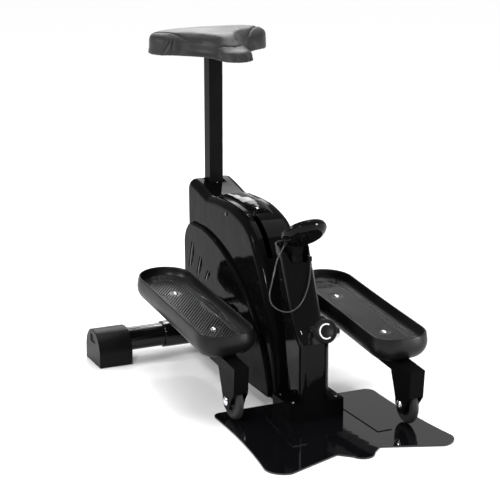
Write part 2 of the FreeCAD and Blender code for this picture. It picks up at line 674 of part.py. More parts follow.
def make_fork(side, word):
    """Folded fork under the tube's front end: two tapered cheeks, a top and a front web."""
    x, y, z, turn = pedal_spot(side)
    ear = 17
    axle_y = -D.wheel_forward
    axle_z = -wheel_drop()
    front = axle_y - D.fork_front
    cheek = [
        (axle_y + 42, D.pedal_tube_low), (front, D.pedal_tube_low), (front, axle_z + 25),
        (axle_y - ear, axle_z + 2), (axle_y, axle_z - ear, ear + 0.2, 1),
        (axle_y + ear, axle_z + 2, ear + 0.2, 1),
    ]
    half = D.pedal_tube_half
    wall = D.fork_wall
    plates = [padded("YZ", cheek, span) for span in ((half - wall, half), (-half, wall - half))]
    top = box((wall - half, half - wall), (front, axle_y + 42), (D.pedal_tube_low - wall, D.pedal_tube_low))
    web = box((wall - half, half - wall), (front, front + wall), (axle_z + 25, D.pedal_tube_low))
    bolt = rod("X", (axle_y, axle_z), (-half - 5, half + 5), D.wheel_axle_radius)
    node(place(cut(fuse(*plates, top, web), bolt), x, y, z, turn), f"fork_{word}")


def dome(axis_low, cheek, radius, bulge):
    """A domed bolt head along X whose flat face lies at -cheek."""
    ball = DOC.addObject("Part::Sphere", "Dome")
    ball.Radius = bulge
    place(ball, axis_low, -D.wheel_forward, -wheel_drop())
    return common(rod("X", (-D.wheel_forward, -wheel_drop()), (-cheek - 8, -cheek), radius), ball)


def make_wheel_bolt():
    """Dome-headed axle bolt with its nut and the collars that centre the wheel."""
    cheek = D.pedal_tube_half
    spot = (-D.wheel_forward, -wheel_drop())
    head = dome(7 - cheek, cheek, 9, 12.5)
    stem = rod("X", spot, (-cheek, cheek + 7), D.wheel_axle_radius)
    nut = rod("X", spot, (cheek, cheek + 6), 8)
    gap = D.wheel_half + 0.5 + D.run_gap * 4
    inner = cheek - D.fork_wall
    collars = [ring("X", spot, span, 8, D.wheel_axle_radius) for span in ((gap, inner), (-inner, -gap))]
    return [fuse(head, stem, nut), *collars]


def make_wheel(side, word):
    """Caster wheel: a round tyre on a dished hub."""
    x, y, z, turn = pedal_spot(side)
    lean = D.pedal_pitch
    wheel_y = y - D.wheel_forward * cosine(lean) + wheel_drop() * sine(lean)
    wheel_z = z - D.wheel_forward * sine(lean) - wheel_drop() * cosine(lean)
    half = D.wheel_half
    tyre = turned([
        (half, D.hub_radius), (half, D.wheel_radius - half), (0, D.wheel_radius, half, 1),
        (-half, D.wheel_radius - half, half, 1), (-half, D.hub_radius),
    ], "H_Axis")
    node(place(tyre, x, wheel_y, wheel_z), f"wheel_tyre_{word}")
    disc = rod("X", (0, 0), (1 - half, half - 1), D.hub_radius)
    dishes = [ring("X", (0, 0), span, D.hub_radius - 4, 9) for span in
              ((2.5, half + 1), (-half - 1, -2.5))]
    bore = rod("X", (0, 0), (-half - 1, half + 1), D.wheel_axle_radius + D.run_gap)
    boss = rod("X", (0, 0), (-half - 0.5, half + 0.5), 9)
    node(place(cut(fuse(cut(disc, *dishes), boss), bore), x, wheel_y, wheel_z), f"wheel_hub_{word}")


# ------------------------------------------------------------------ housing
HOUSING_SCREWS = ((136, 335), (-70, 30))


def housing_outline(inset):
    """Side view of the housing: low front foot, arched crest and a lobe round the seat socket."""
    wall = size(inset)
    rear = D.post_y + D.socket_side / 2 + 16 - wall
    low = 17 + wall
    over = D.stab_z + D.sleeve_radius + 3 + wall
    return [
        (D.cover_rear + 3 + wall, low), (D.stab_y - D.sleeve_radius - 6 - wall, low),
        (D.stab_y - D.sleeve_radius - 6 - wall, over), (rear - 8, over),
        (rear - 4, 190), (rear, 290), (rear, 342 - wall),
        (rear - 24, 367 - wall, 24, 1), (D.post_y - 20, 362 - wall),
        (238, 350 - wall), (119, 356 - wall, 700, 1),
        (50 + wall, 341 - wall, 300, 1), (8 + wall, 311 - wall, 120, 1),
        (-32 + wall, 250), (-58 + wall, 190), (-78 + wall, 140), (D.cover_rear + 3 + wall, 60),
    ]


def make_housing():
    """Two shells that meet on the middle plane."""
    wall = D.house_wall
    post = D.socket_side / 2 + 1.5
    skin = padded("YZ", housing_outline(0), (-D.shell_half, 0))
    skin = soften(skin, 16, upper_rim(-D.shell_half))
    core = padded("YZ", housing_outline(wall), (wall - D.shell_half, 1))
    core = soften(core, 16 - wall, upper_rim(wall - D.shell_half))
    axle_hole = rod("X", (D.axle_y, D.axle_z), (-D.shell_half - 1, 0), D.axle_radius + 9)
    post_hole = box((-post, post), (D.post_y - post, D.post_y + post), (D.socket_top - 40, 400))
    pin_hole = rod("Y", (0, D.socket_top - 28), (D.post_y, D.post_y + 60), 11)
    mouth = box((-14, 14), (D.cover_rear, D.axle_y - 140), (60, 250))
    foot = box((-D.beam_half - 1, D.beam_half + 1), (D.cover_rear, D.cover_rear + 20), (10, D.beam_high + 1))
    tail = box((-D.beam_half - 1, D.beam_half + 1), (D.stab_y - 60, D.stab_y),
               (D.stab_z - 30, D.stab_z + D.sleeve_radius + 8))
    socket = box((-post, post), (D.post_y - post, D.post_y + post),
                 (D.stab_z, D.stab_z + D.sleeve_radius + 20))
    screws = [rod("X", (y, z), (-D.shell_half - 1, 5 - D.shell_half), 2) for y, z in HOUSING_SCREWS]
    right = cut(skin, core, axle_hole, post_hole, pin_hole, mouth, foot, tail, socket, *screws)
    node(cut(right, slot_cutter()), "housing_right")
    node(opposite(right), "housing_left")


def upper_rim(face):
    """An edge picker: the outer rim of a shell above its foot."""
    def pick(edge):
        bounds = edge.BoundBox
        flat = abs(bounds.XMin - face.value) < 0.01 and abs(bounds.XMax - face.value) < 0.01
        return flat and bounds.ZMin > 55
    return pick


def slot_cutter():
    """The long slot down the front of the crest, beside the seam."""
    corners = [(-4, 270), (-26, 292), (36, 372), (64, 372), (64, 336)]
    return padded("YZ", corners, (-26, -14))


def side_cover_outline(inset):
    """Side view of a raised side cover: one long front arc, a straight rear and a low foot."""
    wall = size(inset)
    rear = D.post_y + 34 - wall
    low = 20 + wall
    over = D.stab_z + D.sleeve_radius + 6 + wall
    notch = D.stab_y - D.sleeve_radius - 6 - wall
    return [
        (-78 + wall, low), (notch, low), (notch, over), (rear - 4, over), (rear, 230),
        (rear - 36, 279 - wall, 60, 1), (251, 281 - wall),
        (67 + wall / 2, 221 - wall, 392, 1), (-39 + wall, 124, 392, 1), (-78 + wall, 40, 392, 1),
    ]


def make_side_covers():
    """Raised covers over both flanks, each with three slits and the crank's opening."""
    wall = D.house_wall
    face = -D.side_cover_half
    skin = padded("YZ", side_cover_outline(0), (face, -D.shell_half))
    skin = soften(skin, 5, upper_rim(face))
    core = padded("YZ", side_cover_outline(wall), (face + wall, 1 - D.shell_half))
    cuts = [rod("X", (D.axle_y, D.axle_z), (face - 1, 0), D.axle_radius + 9)]
    for y, z, rise in ((305, 209, 29), (262, 196, 21), (220, 186, 12)):
        slit = [(y + 9, z - rise), (y + 13, z - rise), (y - 4, z + rise), (y - 8, z + rise)]
        cuts.append(padded("YZ", slit, (face - 1, -D.shell_half - 2)))
    right = cut(skin, core, *cuts)
    node(right, "side_cover_right")
    node(opposite(right), "side_cover_left")


def make_hood():
    """Hood over the crest between the seat post and the slot."""
    lift = 6
    outline = [
        (262, 356.1), (238, 350.7), (119, 356.7, 700, 1), (76, 350.4),
        (74, 354), (119, 356 + lift, 300, -1), (215, 354 + lift, 700, -1),
    ]
    hood = padded("YZ", outline, (-D.hood_half, D.hood_half))
    node(hood, "hood")


# ------------------------------------------------------------------ tower
def tower_outline(inset):
    """Side view of the tower: straight column, shoulder, and a cup that leans back."""
    wall = size(inset)
    front = D.cover_front + 4
    return [
        (front + wall, D.cover_top - wall * 2), (front + wall, 152), (-150 + wall, 178 - wall),
        (-94 + wall, 307 + wall * 3), (-70, 317 + wall * 3), (-40 - wall, 321 + wall * 3),
        (-66 - wall, 230), (-86 - wall, 150),
        (-98.2 - wall, 62), (D.cover_rear - 1 - wall, D.cover_top - wall * 2),
    ]


def make_tower():
    """Two halves of the tower, open at the top, with the display's stem inside."""
    wall = D.tower_wall
    skin = padded("YZ", tower_outline(0), (-D.tower_half, 0))
    skin = soften(skin, 18, tall_rim(-D.tower_half))
    core = padded("YZ", tower_outline(wall), (wall - D.tower_half, 1))
    core = soften(core, 18 - wall, tall_rim(wall - D.tower_half))
    beam_way = box((-D.beam_half - 0.5, 1), (D.cover_rear - 30, D.cover_rear + 5),
                   (D.cover_top - 10, D.beam_high + 0.5))
    hollow = cut(cut(skin, core), beam_way)
    right = cut(hollow, knob_rod(6.5, -20, 26))
    node(right, "tower_right")
    node(opposite(right), "tower_left")
    stem = [
        (-152, D.upright_top), (-124, D.upright_top), (-116, 176), (-68, 296), (-68, 310),
        (-90, 330), (-114, 336), (-94, 318), (-88, 300), (-140, 176),
    ]
    rod_hole = knob_rod(5.3, -60, 30)
    node(cut(padded("YZ", stem, (-11, 11)), rod_hole, pod_volume(0.2)), "console_stem")


def tall_rim(face):
    """An edge picker: the long front and rear edges on a tower's outer face."""
    def pick(edge):
        bounds = edge.BoundBox
        flat = abs(bounds.XMin - face.value) < 0.01 and abs(bounds.XMax - face.value) < 0.01
        return flat and bounds.ZMax - bounds.ZMin > 20
    return pick


def knob_turn():
    """Rotation that points a local +Z forwards and up along the knob's shaft."""
    return FreeCAD.Rotation(FreeCAD.Vector(1, 0, 0), 90 - D.knob_tilt.value)


def knob_rod(radius, low, high):
    """A cylinder on the knob's axis: low and high are measured from the shaft's foot."""
    obj = DOC.addObject("Part::Cylinder", "KnobRod")
    bind(obj, "Radius", radius)
    bind(obj, "Height", size(high) - low)
    foot = size(low) - D.knob_reach
    return place(obj, 0, D.knob_y - foot * cosine(D.knob_tilt), D.knob_z + foot * sine(D.knob_tilt),
                 knob_turn())


def make_knob():
    """Tension knob, its shaft, and the bush it turns in."""
    grip_low = D.knob_reach - D.knob_thick
    edge = 2
    grip = turned([
        (0, grip_low), (D.knob_radius - 3, grip_low), (D.knob_radius, grip_low + 3, 3, 1),
        (D.knob_radius, D.knob_reach - edge), (D.knob_radius - edge, D.knob_reach, edge, 1),
        (0, D.knob_reach),
    ])
    place(grip, 0, D.knob_y + D.knob_reach * cosine(D.knob_tilt),
          D.knob_z - D.knob_reach * sine(D.knob_tilt), knob_turn())
    node(cut(grip, knob_rod(5, grip_low - 1, grip_low + 9)), "tension_knob")
    node(knob_rod(5, -30, grip_low + 9), "knob_shaft")
    node(cut(knob_rod(9, 3, 12), knob_rod(5 + D.run_gap, 2, 13), tower_block()), "knob_bush")


def tower_block():
    """The tower's outer shape as one solid, for what seats on it."""
    return padded("YZ", tower_outline(0), (-D.tower_half, D.tower_half))


# ------------------------------------------------------------------ console
def pod_turn():
    """Rotation that points a local +Z out of the display's face."""
    return FreeCAD.Rotation(FreeCAD.Vector(1, 0, 0), -D.pod_tilt.value)


def pod_volume(grow):
    """The pod's outer shape, grown a little all round."""
    radius = D.pod_radius + grow
    back = -D.pod_back - grow
    disc = turned([(0, back), (radius - 20, back), (radius, 3, 24, 1), (radius, 8 + size(grow)),
                   (0, 8 + size(grow))])
    return place(disc, 0, D.pod_y, D.pod_z, pod_turn())


def pod_rod(at, span, radius):
    """A cylinder in the pod's own frame."""
    lean = D.pod_tilt
    obj = DOC.addObject("Part::Cylinder", "PodRod")
    bind(obj, "Radius", radius)
    bind(obj, "Height", size(span[1]) - span[0])
    return place(obj, at[0], D.pod_y + size(at[1]) * cosine(lean) + size(span[0]) * sine(lean),
                 D.pod_z - size(at[1]) * sine(lean) + size(span[0]) * cosine(lean), pod_turn())


def make_console():
    """Round display pod: case, board, bezel, window and one button."""
    radius = D.pod_radius
    floor = 3 - D.pod_back
    room = turned([(0, floor), (radius - 20, floor), (radius - 3, 3, 21, 1), (radius - 3, 9), (0, 9)])
    node(cut(pod_volume(0), place(room, 0, D.pod_y, D.pod_z, pod_turn())), "console_case")
    glass = 28
    button = (0, glass + 5.2)
    lip = pod_rod((0, 0), (8, 11), radius - 1.5)
    plug = pod_rod((0, 0), (5, 8), radius - 6)
    cuts = [pod_rod((0, 0), (4, 12), glass), pod_rod(button, (4, 12), 4.3)]
    node(cut(fuse(lip, plug), *cuts), "console_bezel")
    node(pod_rod((0, 0), (6, 9.5), glass), "display_window")
    cap = pod_rod(button, (5.3, 12.5), 4)
    node(cap, "mode_button")
    posts = [pod_rod((x, y), (floor, -2), 2.5) for x in (-14, 14) for y in (-14, 14)]
    node(group(pod_rod((0, 0), (-2, 0), radius - 7), *posts), "circuit_board")


# ------------------------------------------------------------------ seat
def make_seat():
    """Post with its stop bolt, head plate, board, cushion and bolts, and the height pin."""
    half = D.post_side / 2
    wall = D.post_wall
    outer = box((-half, half), (D.post_y - half, D.post_y + half), (D.post_low, D.post_top))
    outer = soften(outer, 2, along("Z"))
    inner = box((wall - half, half - wall), (D.post_y - half + wall, D.post_y + half - wall),
                (D.post_low - 1, D.post_top + 1))
    steps = [rod("Y", (0, D.socket_top - 28 - 30 * i), (D.post_y, D.post_y + half + 1), 4.2) for i in range(4)]
    bolt_hole = rod("Y", (0, D.post_bolt_z), (D.post_y - half - 1, D.post_y), 2.5)
    post = cut(outer, inner, bolt_hole, *steps)
    front = D.post_y - half
    stop = fuse(rod("Y", (0, D.post_bolt_z), (front - 3, front), 4.5),
                rod("Y", (0, D.post_bolt_z), (front, front + 8), 2.5))
    plate_high = D.post_top + D.head_plate_thick
    board_high = plate_high + D.board_thick
    bolts = [stop]
    holes = []
    for x in (-36, 36):
        for y in (D.post_y - 32, D.post_y + 24):
            holes.append(rod("Z", (x, y), (D.post_top - 1, board_high - 3), 3))
            bolts.append(fuse(rod("Z", (x, y), (D.post_top - 2, D.post_top), 6),
                              rod("Z", (x, y), (D.post_top, board_high - 3), 3)))
    plate = box((-50, 50), (D.post_y - 45, D.post_y + 35), (D.post_top, plate_high))
    node(fuse(post, cut(plate, *holes)), "seat_post")
    node(cut(padded("XY", seat_outline(10), (plate_high, board_high)), *holes), "seat_board")
    node(group(*bolts), "seat_bolts")
    cushion = soften(padded("XY", seat_outline(0), (D.seat_low, D.seat_top)), 14, at_height(D.seat_top))
    gap = 0.3
    pan = padded("XY", seat_outline(10 - gap), (D.seat_low - 1, board_high + gap))
    node(cut(cushion, pan), "seat_cushion")


def seat_outline(inset):
    """Plan of the saddle: wide rounded rear, hollow flanks and a short round nose."""
    gap = size(inset)
    half = D.seat_half - gap
    nose = D.nose_half - gap * 0.6
    rear = D.seat_rear - gap
    tip = D.seat_nose + gap
    return mirrored([
        (0, rear),
        (half - 30, rear - 12, 420, -1),
        (half, rear - 46, 42, -1),
        (half - 22, rear - 92 + gap, 52, -1),
        (nose + 4, tip + 70, 120, 1),
        (nose, tip + nose, 90, 1),
        (0, tip, nose, -1),
    ])


def make_pin_barrel():
    """Barrel behind the socket that guides the height pin."""
    level = D.socket_top - 28
    face = D.post_y + D.socket_side / 2
    hollow = rod("Y", (0, level), (face + 2, face + 16), 7)
    pin_way = rod("Y", (0, level), (face - 1, face + 17), 4 + D.run_gap)
    return cut(rod("Y", (0, level), (face, face + 15), 9.5), hollow, pin_way)


def make_height_pin():
    """Pull pin behind the socket: its shaft with a collar, and the knob."""
    level = D.socket_top - 28
    face = D.post_y + D.socket_side / 2
    barrel_end = face + 15
    tip = face - D.tube_wall - D.post_wall - 0.3
    shaft = rod("Y", (0, level), (tip, barrel_end + 13), 4)
    collar = rod("Y", (0, level), (face + 2.3, face + 4.3), 6)
    head = rod("Y", (0, level), (barrel_end + 1, barrel_end + 19), 13)
    node(fuse(shaft, collar, soften(head, 3, at_height(barrel_end + 19, "y"))), "height_pin")


# ------------------------------------------------------------------ cord
LEAD_RADIUS = 1.3
LEAD_ROUTE = (
    (-38, -111, 331), (-43, -110, 321), (-52, -108, 304), (-59, -111, 280), (-68, -119, 260),
    (-76, -126, 244), (-75, -132, 227), (-62, -138, 215), (-46, -142, 209.5), (-31, -143, 212.5),
    (-17, -140, 222), (-5, -134.5, 235), (7, -125.5, 254), (15, -115.5, 274), (19, -109, 285),
    (19.5, -107, 293),
)


def rounded_path(route):
    """Straight runs joined by tangent arcs, each as large as its two runs allow."""
    spots = [FreeCAD.Vector(*spot) for spot in route]
    edges = []
    radii = []
    start = spots[0]
    for before, corner, after in zip(spots, spots[1:], spots[2:]):
        back = before - corner
        ahead = after - corner
        setback = 0.45 * min(back.Length, ahead.Length)
        half_turn = (math.pi - back.getAngle(ahead)) / 2
        radii.append(setback / math.tan(half_turn))
        back.normalize()
        ahead.normalize()
        enter = corner + back * setback
        leave = corner + ahead * setback
        middle = (back + ahead).normalize()
        centre = corner + middle * (radii[-1] / math.cos(half_turn))
        edges.append(Part.LineSegment(start, enter).toShape())
        edges.append(Part.Arc(enter, centre - middle * radii[-1], leave).toShape())
        start = leave
    edges.append(Part.LineSegment(start, spots[-1]).toShape())
    return Part.Wire(edges), radii


def make_lead():
    """Sensor lead that hangs from the pod and goes back into the tower, with its plug and boot."""
    path, radii = rounded_path(LEAD_ROUTE)
    start = FreeCAD.Vector(*LEAD_ROUTE[0])
    heading = FreeCAD.Vector(*LEAD_ROUTE[1]) - start
    section = Part.Wire(Part.makeCircle(LEAD_RADIUS, start, heading))
    tube = path.makePipeShell([section], True, False)
    ideal = math.pi * LEAD_RADIUS ** 2 * path.Length
    print("lead length", round(path.Length, 1), "smallest radius", round(min(radii), 1),
          "volume ratio", round(tube.Volume / ideal, 4))
    lead = DOC.addObject("Part::Feature", "Lead")
    lead.Shape = tube
    node(lead, "sensor_lead")

    heading.normalize()
    plug = DOC.addObject("Part::Cylinder", "Plug")
    plug.Radius = 2.8
    plug.Height = 14
    plug.Placement = FreeCAD.Placement(start - heading * 14, FreeCAD.Rotation(FreeCAD.Vector(0, 0, 1), heading))
    x, y, z = LEAD_ROUTE[-1]
    sleeve = rod("Z", (x, y), (z, z + 9), 2.8)
    bridge = box((x - 2, x + 2), (y, y + 16), (z + 3, z + 9))
    node(group(cut(plug, pod_volume(0)), cut(fuse(sleeve, bridge), tower_block())), "lead_ends")


def check_and_write():
    """Recompute, refuse anything broken, and write one STEP file for each sub-part."""
    DOC.recompute()
    broken = [f"{obj.Name} ({obj.Label})" for obj in DOC.Objects
              if "Invalid" in obj.State or "Error" in obj.State]
    if broken:
        raise RuntimeError("failed: " + ", ".join(broken))
    os.makedirs("parts", exist_ok=True)
    for obj in NODES:
        shape = obj.Shape
        if shape.isNull() or not shape.isValid() or not shape.Solids:
            raise RuntimeError(f"{obj.Label} has no valid solid")
    for obj in NODES:
        obj.Shape.exportStep(f"parts/{obj.Label}.step")
    print(len(NODES), "sub-parts written")


def main():
    make_frame(make_base())
    make_crank_bracket()
    make_crank()
    make_flywheel()
    make_belt()
    make_brake()
    for side, word in ((1, "left"), (-1, "right")):
        make_pedal(side, word)
    make_housing()
    make_side_covers()
    make_hood()
    make_tower()
    make_knob()
    make_console()
    make_seat()
    make_height_pin()
    make_lead()
    check_and_write()


main()
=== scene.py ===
"""Seated stepper: finishes, moulded detail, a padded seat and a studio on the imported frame."""
import json
import logging
import math
from dataclasses import dataclass, field
from enum import Enum
from typing import Any, Sequence

import bmesh
import bpy
import numpy as np
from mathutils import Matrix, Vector

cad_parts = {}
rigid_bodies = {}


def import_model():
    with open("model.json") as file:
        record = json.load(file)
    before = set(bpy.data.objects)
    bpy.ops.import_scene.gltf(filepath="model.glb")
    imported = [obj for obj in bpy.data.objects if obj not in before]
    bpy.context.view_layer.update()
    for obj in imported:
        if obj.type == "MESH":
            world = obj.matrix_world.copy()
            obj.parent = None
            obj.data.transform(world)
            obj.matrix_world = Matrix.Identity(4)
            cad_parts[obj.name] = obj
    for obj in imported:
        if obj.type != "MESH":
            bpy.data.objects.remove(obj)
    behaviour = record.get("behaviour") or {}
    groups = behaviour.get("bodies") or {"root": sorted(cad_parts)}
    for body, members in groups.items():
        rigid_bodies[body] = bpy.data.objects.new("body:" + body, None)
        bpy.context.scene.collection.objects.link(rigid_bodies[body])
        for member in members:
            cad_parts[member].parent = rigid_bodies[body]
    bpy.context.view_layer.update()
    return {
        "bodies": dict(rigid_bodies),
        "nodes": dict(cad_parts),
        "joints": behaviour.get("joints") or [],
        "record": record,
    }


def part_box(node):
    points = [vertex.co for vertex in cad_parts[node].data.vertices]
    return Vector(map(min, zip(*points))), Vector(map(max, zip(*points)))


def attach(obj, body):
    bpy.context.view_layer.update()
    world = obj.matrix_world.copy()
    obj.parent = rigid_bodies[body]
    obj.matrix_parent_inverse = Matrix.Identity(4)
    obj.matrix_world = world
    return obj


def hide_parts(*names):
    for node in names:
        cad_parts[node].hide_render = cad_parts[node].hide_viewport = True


LOG = logging.getLogger("stepper")
MM = 0.001
POLE_REACH = 1e-6  # merging distance in metres that closes poles and seams
FACET_REACH = 2e-5  # merging distance in metres that joins neighbouring facets
MIX_COLOURS = (6, 7)  # colour inputs A and B of a mix node
MIX_RESULT = 2  # its colour output
NOISE_LOW, NOISE_HIGH = 0.3, 0.7  # the span that nearly all of a noise falls in
SMOOTHEST = 0.01  # least roughness
METAL = 0.5  # a finish above this metallic value has no dielectric gloss
Grid = np.ndarray
Point = tuple[float, float, float]


# ---------------------------------------------------------------- finishes
def linear(code: str) -> tuple[float, float, float, float]:
    """Turn an sRGB hex code into linear colour.

    Args:
        code: six hex digits, with or without a leading hash.
    Returns:
        Red, green, blue and an alpha of one, each linear.
    """
    code = code.lstrip("#")
    parts = [int(code[i:i + 2], 16) / 255 for i in (0, 2, 4)]
    values = [p / 12.92 if p <= 0.04045 else ((p + 0.055) / 1.055) ** 2.4 for p in parts]
    return (*values, 1.0)


def add_node(tree: bpy.types.NodeTree, kind: str, settings: dict[str, Any] | None = None,
             links: dict[str, Any] | None = None) -> bpy.types.Node:
    """Add a shader node, set its properties and sockets, and link its inputs.

    Args:
        tree: the material's node tree.
        kind: the node's type, such as ShaderNodeTexNoise.
        settings: attribute or input names with their values.
        links: input names with the output sockets that feed them.
    Returns:
        The new node.
    """
    item = tree.nodes.new(kind)
    for name, value in (settings or {}).items():
        if name in item.inputs:
            item.inputs[name].default_value = value
        else:
            setattr(item, name, value)
    for name, socket in (links or {}).items():
        tree.links.new(socket, item.inputs[name])
    return item


class Pattern(Enum):
    """How a surface was made, which sets its relief."""
    MOULDED = "noise"
    SPARK = "fine"
    TURNED = "wave"
    LEATHER = "voronoi"
    VENEER = "wood"


@dataclass(frozen=True)
class Finish:
    """One real finish: its colours, its gloss and the size of its relief.

    The relief is a bump from a pattern whose size is in millimetres; the roughness
    and the colour drift a little over patches of patch_mm.
    """
    name: str
    colour: str
    worn: str
    rough: float
    spread: float
    pattern: Pattern
    grain_mm: float
    relief: float
    patch_mm: float = 60.0
    metallic: float = 0.0
    ior: float = 1.5
    specular: float = 0.5
    sheen: float = 0.0
    alpha: float = 1.0

    def build(self) -> bpy.types.Material:
        """Make the material, or return it if it was made before.

        Returns:
            The Blender material.
        """
        found = bpy.data.materials.get(self.name)
        if found:
            return found
        made = bpy.data.materials.new(self.name)
        made.use_nodes = True
        tree = made.node_tree
        shader = tree.nodes["Principled BSDF"]
        place = add_node(tree, "ShaderNodeTexCoord").outputs["Object"]
        patch = add_node(tree, "ShaderNodeTexNoise",
                         {"Scale": 1 / (self.patch_mm * MM), "Detail": 4.0}, {"Vector": place})
        tint = add_node(tree, "ShaderNodeMix", {"data_type": "RGBA"},
                        {"Factor": patch.outputs["Fac"]})
        for socket, value in zip(MIX_COLOURS, (self.colour, self.worn)):
            tint.inputs[socket].default_value = linear(value)
        tree.links.new(tint.outputs[MIX_RESULT], shader.inputs["Base Color"])
        gloss = add_node(tree, "ShaderNodeMapRange", {
            "From Min": NOISE_LOW, "From Max": NOISE_HIGH,
            "To Min": max(SMOOTHEST, self.rough - self.spread),
            "To Max": self.rough + self.spread}, {"Value": patch.outputs["Fac"]})
        tree.links.new(gloss.outputs["Result"], shader.inputs["Roughness"])
        height = self.height(tree, place)
        bump = add_node(tree, "ShaderNodeBump",
                        {"Strength": self.relief, "Distance": self.grain_mm * MM * 0.3},
                        {"Height": height})
        tree.links.new(bump.outputs["Normal"], shader.inputs["Normal"])
        shader.inputs["Metallic"].default_value = self.metallic
        if self.metallic < METAL:
            shader.inputs["IOR"].default_value = self.ior
            shader.inputs["Specular IOR Level"].default_value = self.specular
        shader.inputs["Sheen Weight"].default_value = self.sheen
        shader.inputs["Alpha"].default_value = self.alpha
        return made

    def height(self, tree: bpy.types.NodeTree, place: bpy.types.NodeSocket) -> bpy.types.NodeSocket:
        """Lay the relief's pattern.

        Args:
            tree: the material's node tree.
            place: the coordinates that the pattern follows.
        Returns:
            The socket that carries the height.
        """
        scale = 1 / (self.grain_mm * MM)
        if self.pattern is Pattern.LEATHER:
            cells = add_node(tree, "ShaderNodeTexVoronoi",
                             {"Scale": scale, "feature": "DISTANCE_TO_EDGE"}, {"Vector": place})
            return cells.outputs["Distance"]
        if self.pattern is Pattern.TURNED:
            rings = add_node(tree, "ShaderNodeTexWave",
                             {"Scale": scale * 0.3, "Distortion": 2.0, "Detail": 2.0},
                             {"Vector": place})
            return rings.outputs["Fac"]
        if self.pattern is Pattern.VENEER:
            stretch = add_node(tree, "ShaderNodeMapping", {}, {"Vector": place})
            stretch.inputs["Scale"].default_value = (1.0, 0.1, 1.0)
            fibre = add_node(tree, "ShaderNodeTexNoise", {"Scale": scale, "Detail": 6.0},
                             {"Vector": stretch.outputs["Vector"]})
            return fibre.outputs["Fac"]
        detail = 8.0 if self.pattern is Pattern.SPARK else 2.0
        grain = add_node(tree, "ShaderNodeTexNoise", {"Scale": scale, "Detail": detail},
                         {"Vector": place})
        return grain.outputs["Fac"]


# Gloss ABS: deep black with a mirror gloss and a faint long wave from the mould.
GLOSS_ABS = Finish("gloss_black_abs", "070708", "0a0a0b", 0.08, 0.02,
                   Pattern.MOULDED, 45.0, 0.05, specular=0.028)
# The same ABS from a more polished tool, brighter in reflection: tower, pod, crest strip.
POLISHED_ABS = Finish("polished_black_abs", "070708", "0a0a0b", 0.06, 0.02,
                      Pattern.MOULDED, 45.0, 0.05, specular=0.1)
# Spark-eroded moulding: satin black with a fine even grain, drawn at 0.7 mm to show.
SATIN_ABS = Finish("satin_black_abs", "0b0b0c", "0f0f10", 0.38, 0.05,
                   Pattern.SPARK, 0.7, 0.25, specular=0.1)
# Polypropylene: near-black and satin, a shade greyer than the end caps.
TRAY_PP = Finish("charcoal_polypropylene", "0c0c0d", "111112", 0.36, 0.04,
                 Pattern.SPARK, 0.8, 0.22, specular=0.2)
# Gloss powder coat: smooth, with a slight orange peel of about 3 mm.
GLOSS_COAT = Finish("gloss_black_powder_coat", "0b0b0c", "0f0f10", 0.12, 0.03,
                    Pattern.MOULDED, 3.0, 0.08, specular=0.35)
# Sheet lacquer: flat and near-mirror, so that it reflects what stands on it.
PLATE_COAT = Finish("gloss_black_sheet_lacquer", "08080a", "0b0b0d", 0.05, 0.02,
                    Pattern.MOULDED, 30.0, 0.02, specular=0.6)
# Post paint: near-black and smooth, with hardly a reflection over the drawn tube.
POST_COAT = Finish("satin_grey_powder_coat", "0c0c0d", "101011", 0.18, 0.03,
                   Pattern.SPARK, 1.2, 0.10, specular=0.03)
# Fork paint: satin near-black with a fine texture and soft, dim highlights.
FORK_COAT = Finish("fork_grey_powder_coat", "080809", "0c0c0d", 0.30, 0.05,
                   Pattern.SPARK, 1.2, 0.10, specular=0.02)
# Turned steel: bright, with fine rings from the lathe.
TURNED_STEEL = Finish("turned_steel", "b4b5b8", "a2a3a6", 0.28, 0.06,
                      Pattern.TURNED, 0.8, 0.12, metallic=1.0)
# Chrome plate: a clear, cool mirror.
CHROME = Finish("chrome_plate", "e4e6ea", "dcdee2", 0.06, 0.02,
                Pattern.MOULDED, 8.0, 0.03, metallic=1.0)
# Machined iron: dull mid grey with a coarse grain.
CAST_IRON = Finish("machined_cast_iron", "5c5c5f", "4c4c4f", 0.42, 0.08,
                   Pattern.SPARK, 1.5, 0.35, metallic=1.0)
# Cast aluminium: pale and matt, with a fine cast skin.
CAST_ALLOY = Finish("cast_aluminium", "c6c8cb", "b8babd", 0.36, 0.05,
                    Pattern.SPARK, 1.0, 0.20, metallic=1.0)
# Nickel plate: a warm, slightly hazed mirror.
NICKEL = Finish("nickel_plate", "b9b3a8", "aca69b", 0.22, 0.04,
                Pattern.MOULDED, 4.0, 0.05, metallic=1.0)
# Belt rubber: matt black with a fine grain.
BELT_RUBBER = Finish("belt_rubber", "151515", "1c1c1c", 0.62, 0.06, Pattern.SPARK, 1.0, 0.30)
# Tyre rubber: matt dark grey, lighter than the moulded plastics.
TYRE_RUBBER = Finish("grey_tyre_rubber", "1f1f20", "262627", 0.55, 0.06,
                     Pattern.SPARK, 0.9, 0.25, specular=0.25)
# Leather-look vinyl: embossed pebble of about 1.6 mm with a soft sheen on the crowns.
VINYL = Finish("embossed_vinyl", "212122", "282829", 0.45, 0.05,
               Pattern.LEATHER, 1.6, 0.30, specular=0.2, sheen=0.03)
# Birch plywood: pale tan with a grain stretched along Y.
PLYWOOD = Finish("birch_plywood", "b18f62", "a07f54", 0.60, 0.06, Pattern.VENEER, 3.0, 0.25)
# Circuit laminate: satin green.
LAMINATE = Finish("green_circuit_laminate", "17502a", "1b5c31", 0.35, 0.05,
                  Pattern.SPARK, 1.0, 0.10)
# Tinted acrylic: a dark, glossy and partly clear window.
WINDOW = Finish("tinted_acrylic", "1b2022", "1b2022", 0.05, 0.01,
                Pattern.MOULDED, 40.0, 0.02, ior=1.49, alpha=0.55)
